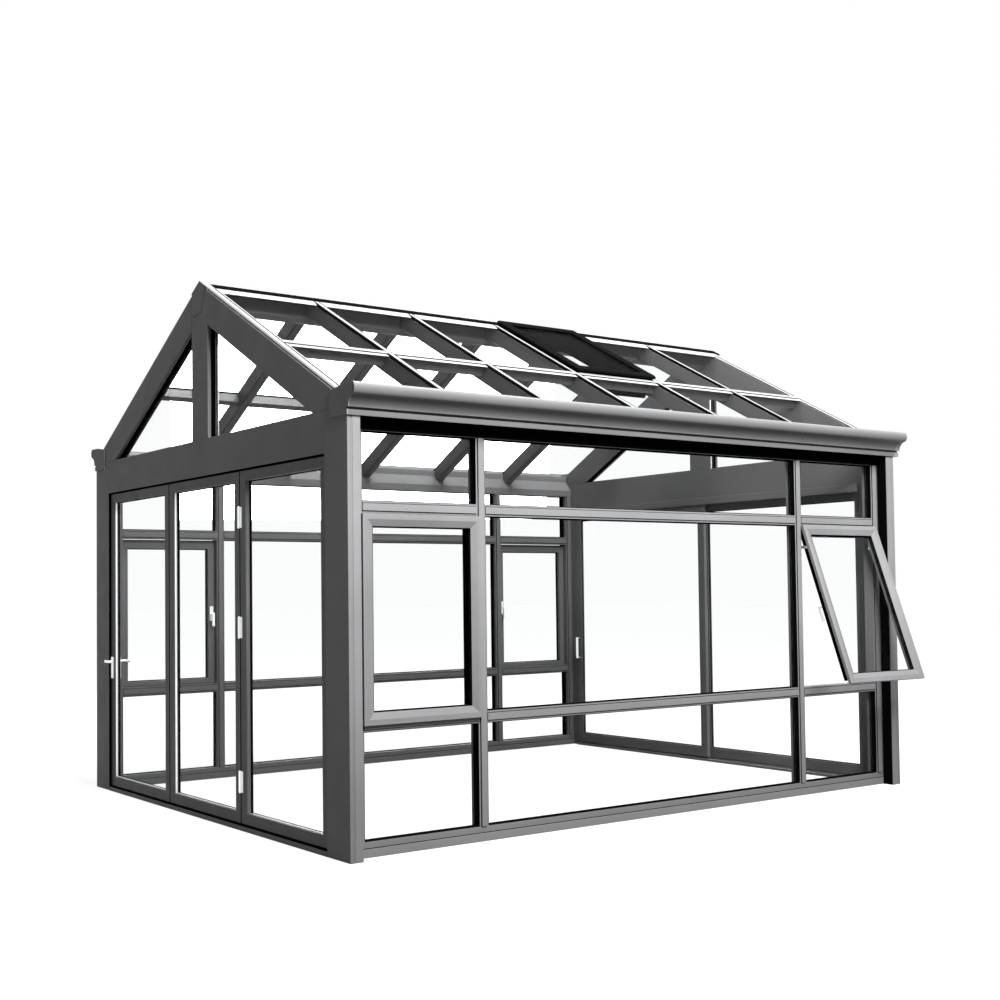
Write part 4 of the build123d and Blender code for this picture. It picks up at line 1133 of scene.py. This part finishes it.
# Soft lamps: place, point that they light, and side length
KEY_LIGHT = ((-1.2, -9, 8.5), (0, -1, 1.6), 5)
FILL_LIGHT = ((-7.2, 0.4, 4.6), (-2.4, 0.1, 2.4), 3)
BACK_LIGHT = ((4.5, 9.5, 5.5), (0, 0, 1.5), 6)
TOP_LIGHT = ((1, -1.5, 10), (0.5, 0, 2), 6)
# Floor: its grey, its level near the house, where it starts to pale and where it is white, and its squares
FLOOR_GREY, FLOOR_LEVEL, FLOOR_START, FLOOR_WHITE, FLOOR_SQUARES = 0.12, 0.86, 3.5, 9, 8


def aim(thing, target):
    """Turn a lamp to look at a point."""
    direction = Vector(target) - thing.location
    thing.rotation_mode = "QUATERNION"
    thing.rotation_quaternion = direction.to_track_quat("-Z", "Y")


def add_softbox(name, place, target, size, power):
    """A square soft lamp aimed at a point."""
    lamp = bpy.data.lights.new(name, "AREA")
    lamp.shape = "SQUARE"
    lamp.size = size
    lamp.energy = power
    thing = bpy.data.objects.new(name, lamp)
    bpy.context.scene.collection.objects.link(thing)
    thing.location = place
    aim(thing, target)


def background_share(tree):
    """One where a ray shows the plain background: to the camera, in gloss or through glass."""
    path, either, any_of = add_nodes(tree, "ShaderNodeLightPath", "ShaderNodeMath", "ShaderNodeMath")
    either.operation = any_of.operation = "MAXIMUM"
    wire(tree, (path, "Is Camera Ray", either, 0), (path, "Is Glossy Ray", either, 1),
         (either, "Value", any_of, 0), (path, "Is Transmission Ray", any_of, 1))
    return any_of


def floor_material():
    """Pale floor: white to the eye, with the house's shadow on it, and a low bounce."""
    material = bpy.data.materials.new("stage_floor")
    material.use_nodes = True
    tree = material.node_tree
    tree.nodes.clear()
    diffuse, glow, total, output, place, reach, ramp = add_nodes(
        tree, "ShaderNodeBsdfDiffuse", "ShaderNodeEmission", "ShaderNodeAddShader",
        "ShaderNodeOutputMaterial", "ShaderNodeTexCoord", "ShaderNodeVectorMath", "ShaderNodeMapRange")
    reach.operation = "LENGTH"
    ramp.interpolation_type = "SMOOTHSTEP"
    set_values(diffuse, Color=opaque([FLOOR_GREY] * 3))
    set_values(ramp, From_Min=FLOOR_START, From_Max=FLOOR_WHITE, To_Min=FLOOR_LEVEL, To_Max=1)
    level = product(tree, (ramp, "Result"), (background_share(tree), "Value"))
    wire(tree, (place, "Object", reach, 0), (reach, "Value", ramp, "Value"),
         (level, "Value", glow, "Strength"), (diffuse, "BSDF", total, 0), (glow, "Emission", total, 1),
         (total, "Shader", output, "Surface"))
    return material


def set_world(ambient):
    """White surroundings to the eye, and a plain low light from all round."""
    world = bpy.data.worlds.new("stage_world")
    bpy.context.scene.world = world
    world.use_nodes = True
    tree = world.node_tree
    tree.nodes.clear()
    background, output, level = add_nodes(
        tree, "ShaderNodeBackground", "ShaderNodeOutputWorld", "ShaderNodeMapRange")
    set_values(background, Color=(1, 1, 1, 1))
    set_values(level, To_Min=ambient, To_Max=1)
    wire(tree, (background_share(tree), "Value", level, "Value"), (level, "Result", background, "Strength"),
         (background, "Background", output, "Surface"))


# The photograph's eye point, and the way it looks: turned from +X to +Y, tipped up, and rolled
EYE = (-6.191, -8.487, 1.492)
EYE_TURN, EYE_TIP, EYE_ROLL = math.radians(53.819), math.radians(2.084), math.radians(-0.704)
EYE_SHIFT, SENSOR_WIDTH, SIGHT_END = 0.0433, 36, 500


def set_camera(lens):
    """The camera at the photograph's eye point."""
    ahead = Vector((
        math.cos(EYE_TIP) * math.cos(EYE_TURN), math.cos(EYE_TIP) * math.sin(EYE_TURN), math.sin(EYE_TIP)))
    right = Vector((math.sin(EYE_TURN), -math.cos(EYE_TURN), 0))
    up = right.cross(ahead)
    rolled_right = math.cos(EYE_ROLL) * right + math.sin(EYE_ROLL) * up
    rolled_up = -math.sin(EYE_ROLL) * right + math.cos(EYE_ROLL) * up
    turn = Matrix((rolled_right, rolled_up, -ahead)).transposed().to_4x4()
    camera = bpy.data.cameras.new("photo_camera")
    camera.lens = lens
    camera.sensor_width = SENSOR_WIDTH
    camera.shift_y = EYE_SHIFT
    camera.clip_end = SIGHT_END
    thing = bpy.data.objects.new("photo_camera", camera)
    bpy.context.scene.collection.objects.link(thing)
    thing.matrix_world = Matrix.Translation(EYE) @ turn
    bpy.context.scene.camera = thing


class GREENHOUSE_OT_set_stage(Operator):
    """Set the floor, the lamps, the white surroundings and the camera"""

    bl_idname = "greenhouse.set_stage"
    bl_label = "Set Stage"

    def execute(self, context):
        stage = context.scene.greenhouse_stage
        shape = bmesh.new()
        bmesh.ops.create_grid(
            shape, x_segments=FLOOR_SQUARES, y_segments=FLOOR_SQUARES, size=stage.floor_size / 2)
        mesh = bpy.data.meshes.new("stage_floor")
        shape.to_mesh(mesh)
        shape.free()
        mesh.materials.append(floor_material())
        floor = bpy.data.objects.new("stage_floor", mesh)
        context.scene.collection.objects.link(floor)
        add_softbox("key_light", *KEY_LIGHT, stage.key_power)
        add_softbox("fill_light", *FILL_LIGHT, stage.fill_power)
        add_softbox("back_light", *BACK_LIGHT, stage.back_power)
        add_softbox("top_light", *TOP_LIGHT, stage.top_power)
        set_world(stage.ambient)
        set_camera(stage.lens)
        context.scene.view_settings.view_transform = "Standard"
        return {"FINISHED"}


class GREENHOUSE_PT_looks(Panel):
    """Finishes, trim and stage of the greenhouse"""

    bl_label = "Glass Greenhouse"
    bl_idname = "GREENHOUSE_PT_looks"
    bl_space_type = "VIEW_3D"
    bl_region_type = "UI"
    bl_category = "Greenhouse"

    def draw(self, context):
        for group in ("greenhouse_finish", "greenhouse_fit", "greenhouse_stage"):
            values = getattr(context.scene, group)
            for prop in values.bl_rna.properties:
                if prop.identifier in values.__annotations__:
                    self.layout.prop(values, prop.identifier)
        for step in STEPS:
            self.layout.operator(step.bl_idname)


GROUPS = (
    ("greenhouse_finish", GreenhouseFinish),
    ("greenhouse_fit", GreenhouseFit),
    ("greenhouse_stage", GreenhouseStage),
)
STEPS = (
    GREENHOUSE_OT_coat_frame,
    GREENHOUSE_OT_glaze,
    GREENHOUSE_OT_fit_trim,
    GREENHOUSE_OT_trim_roof,
    GREENHOUSE_OT_fit_hardware,
    GREENHOUSE_OT_set_stage,
)


def register():
    for name, group in GROUPS:
        bpy.utils.register_class(group)
        setattr(bpy.types.Scene, name, PointerProperty(type=group))
    for made in (*STEPS, GREENHOUSE_PT_looks):
        bpy.utils.register_class(made)


def unregister():
    for made in (GREENHOUSE_PT_looks, *reversed(STEPS)):
        bpy.utils.unregister_class(made)
    for name, group in reversed(GROUPS):
        delattr(bpy.types.Scene, name)
        bpy.utils.unregister_class(group)


def main():
    register()
    bpy.ops.greenhouse.coat_frame()
    bpy.ops.greenhouse.glaze()
    bpy.ops.greenhouse.fit_trim()
    bpy.ops.greenhouse.trim_roof()
    bpy.ops.greenhouse.fit_hardware()
    bpy.ops.greenhouse.set_stage()


if __name__ == "__main__":
    main()
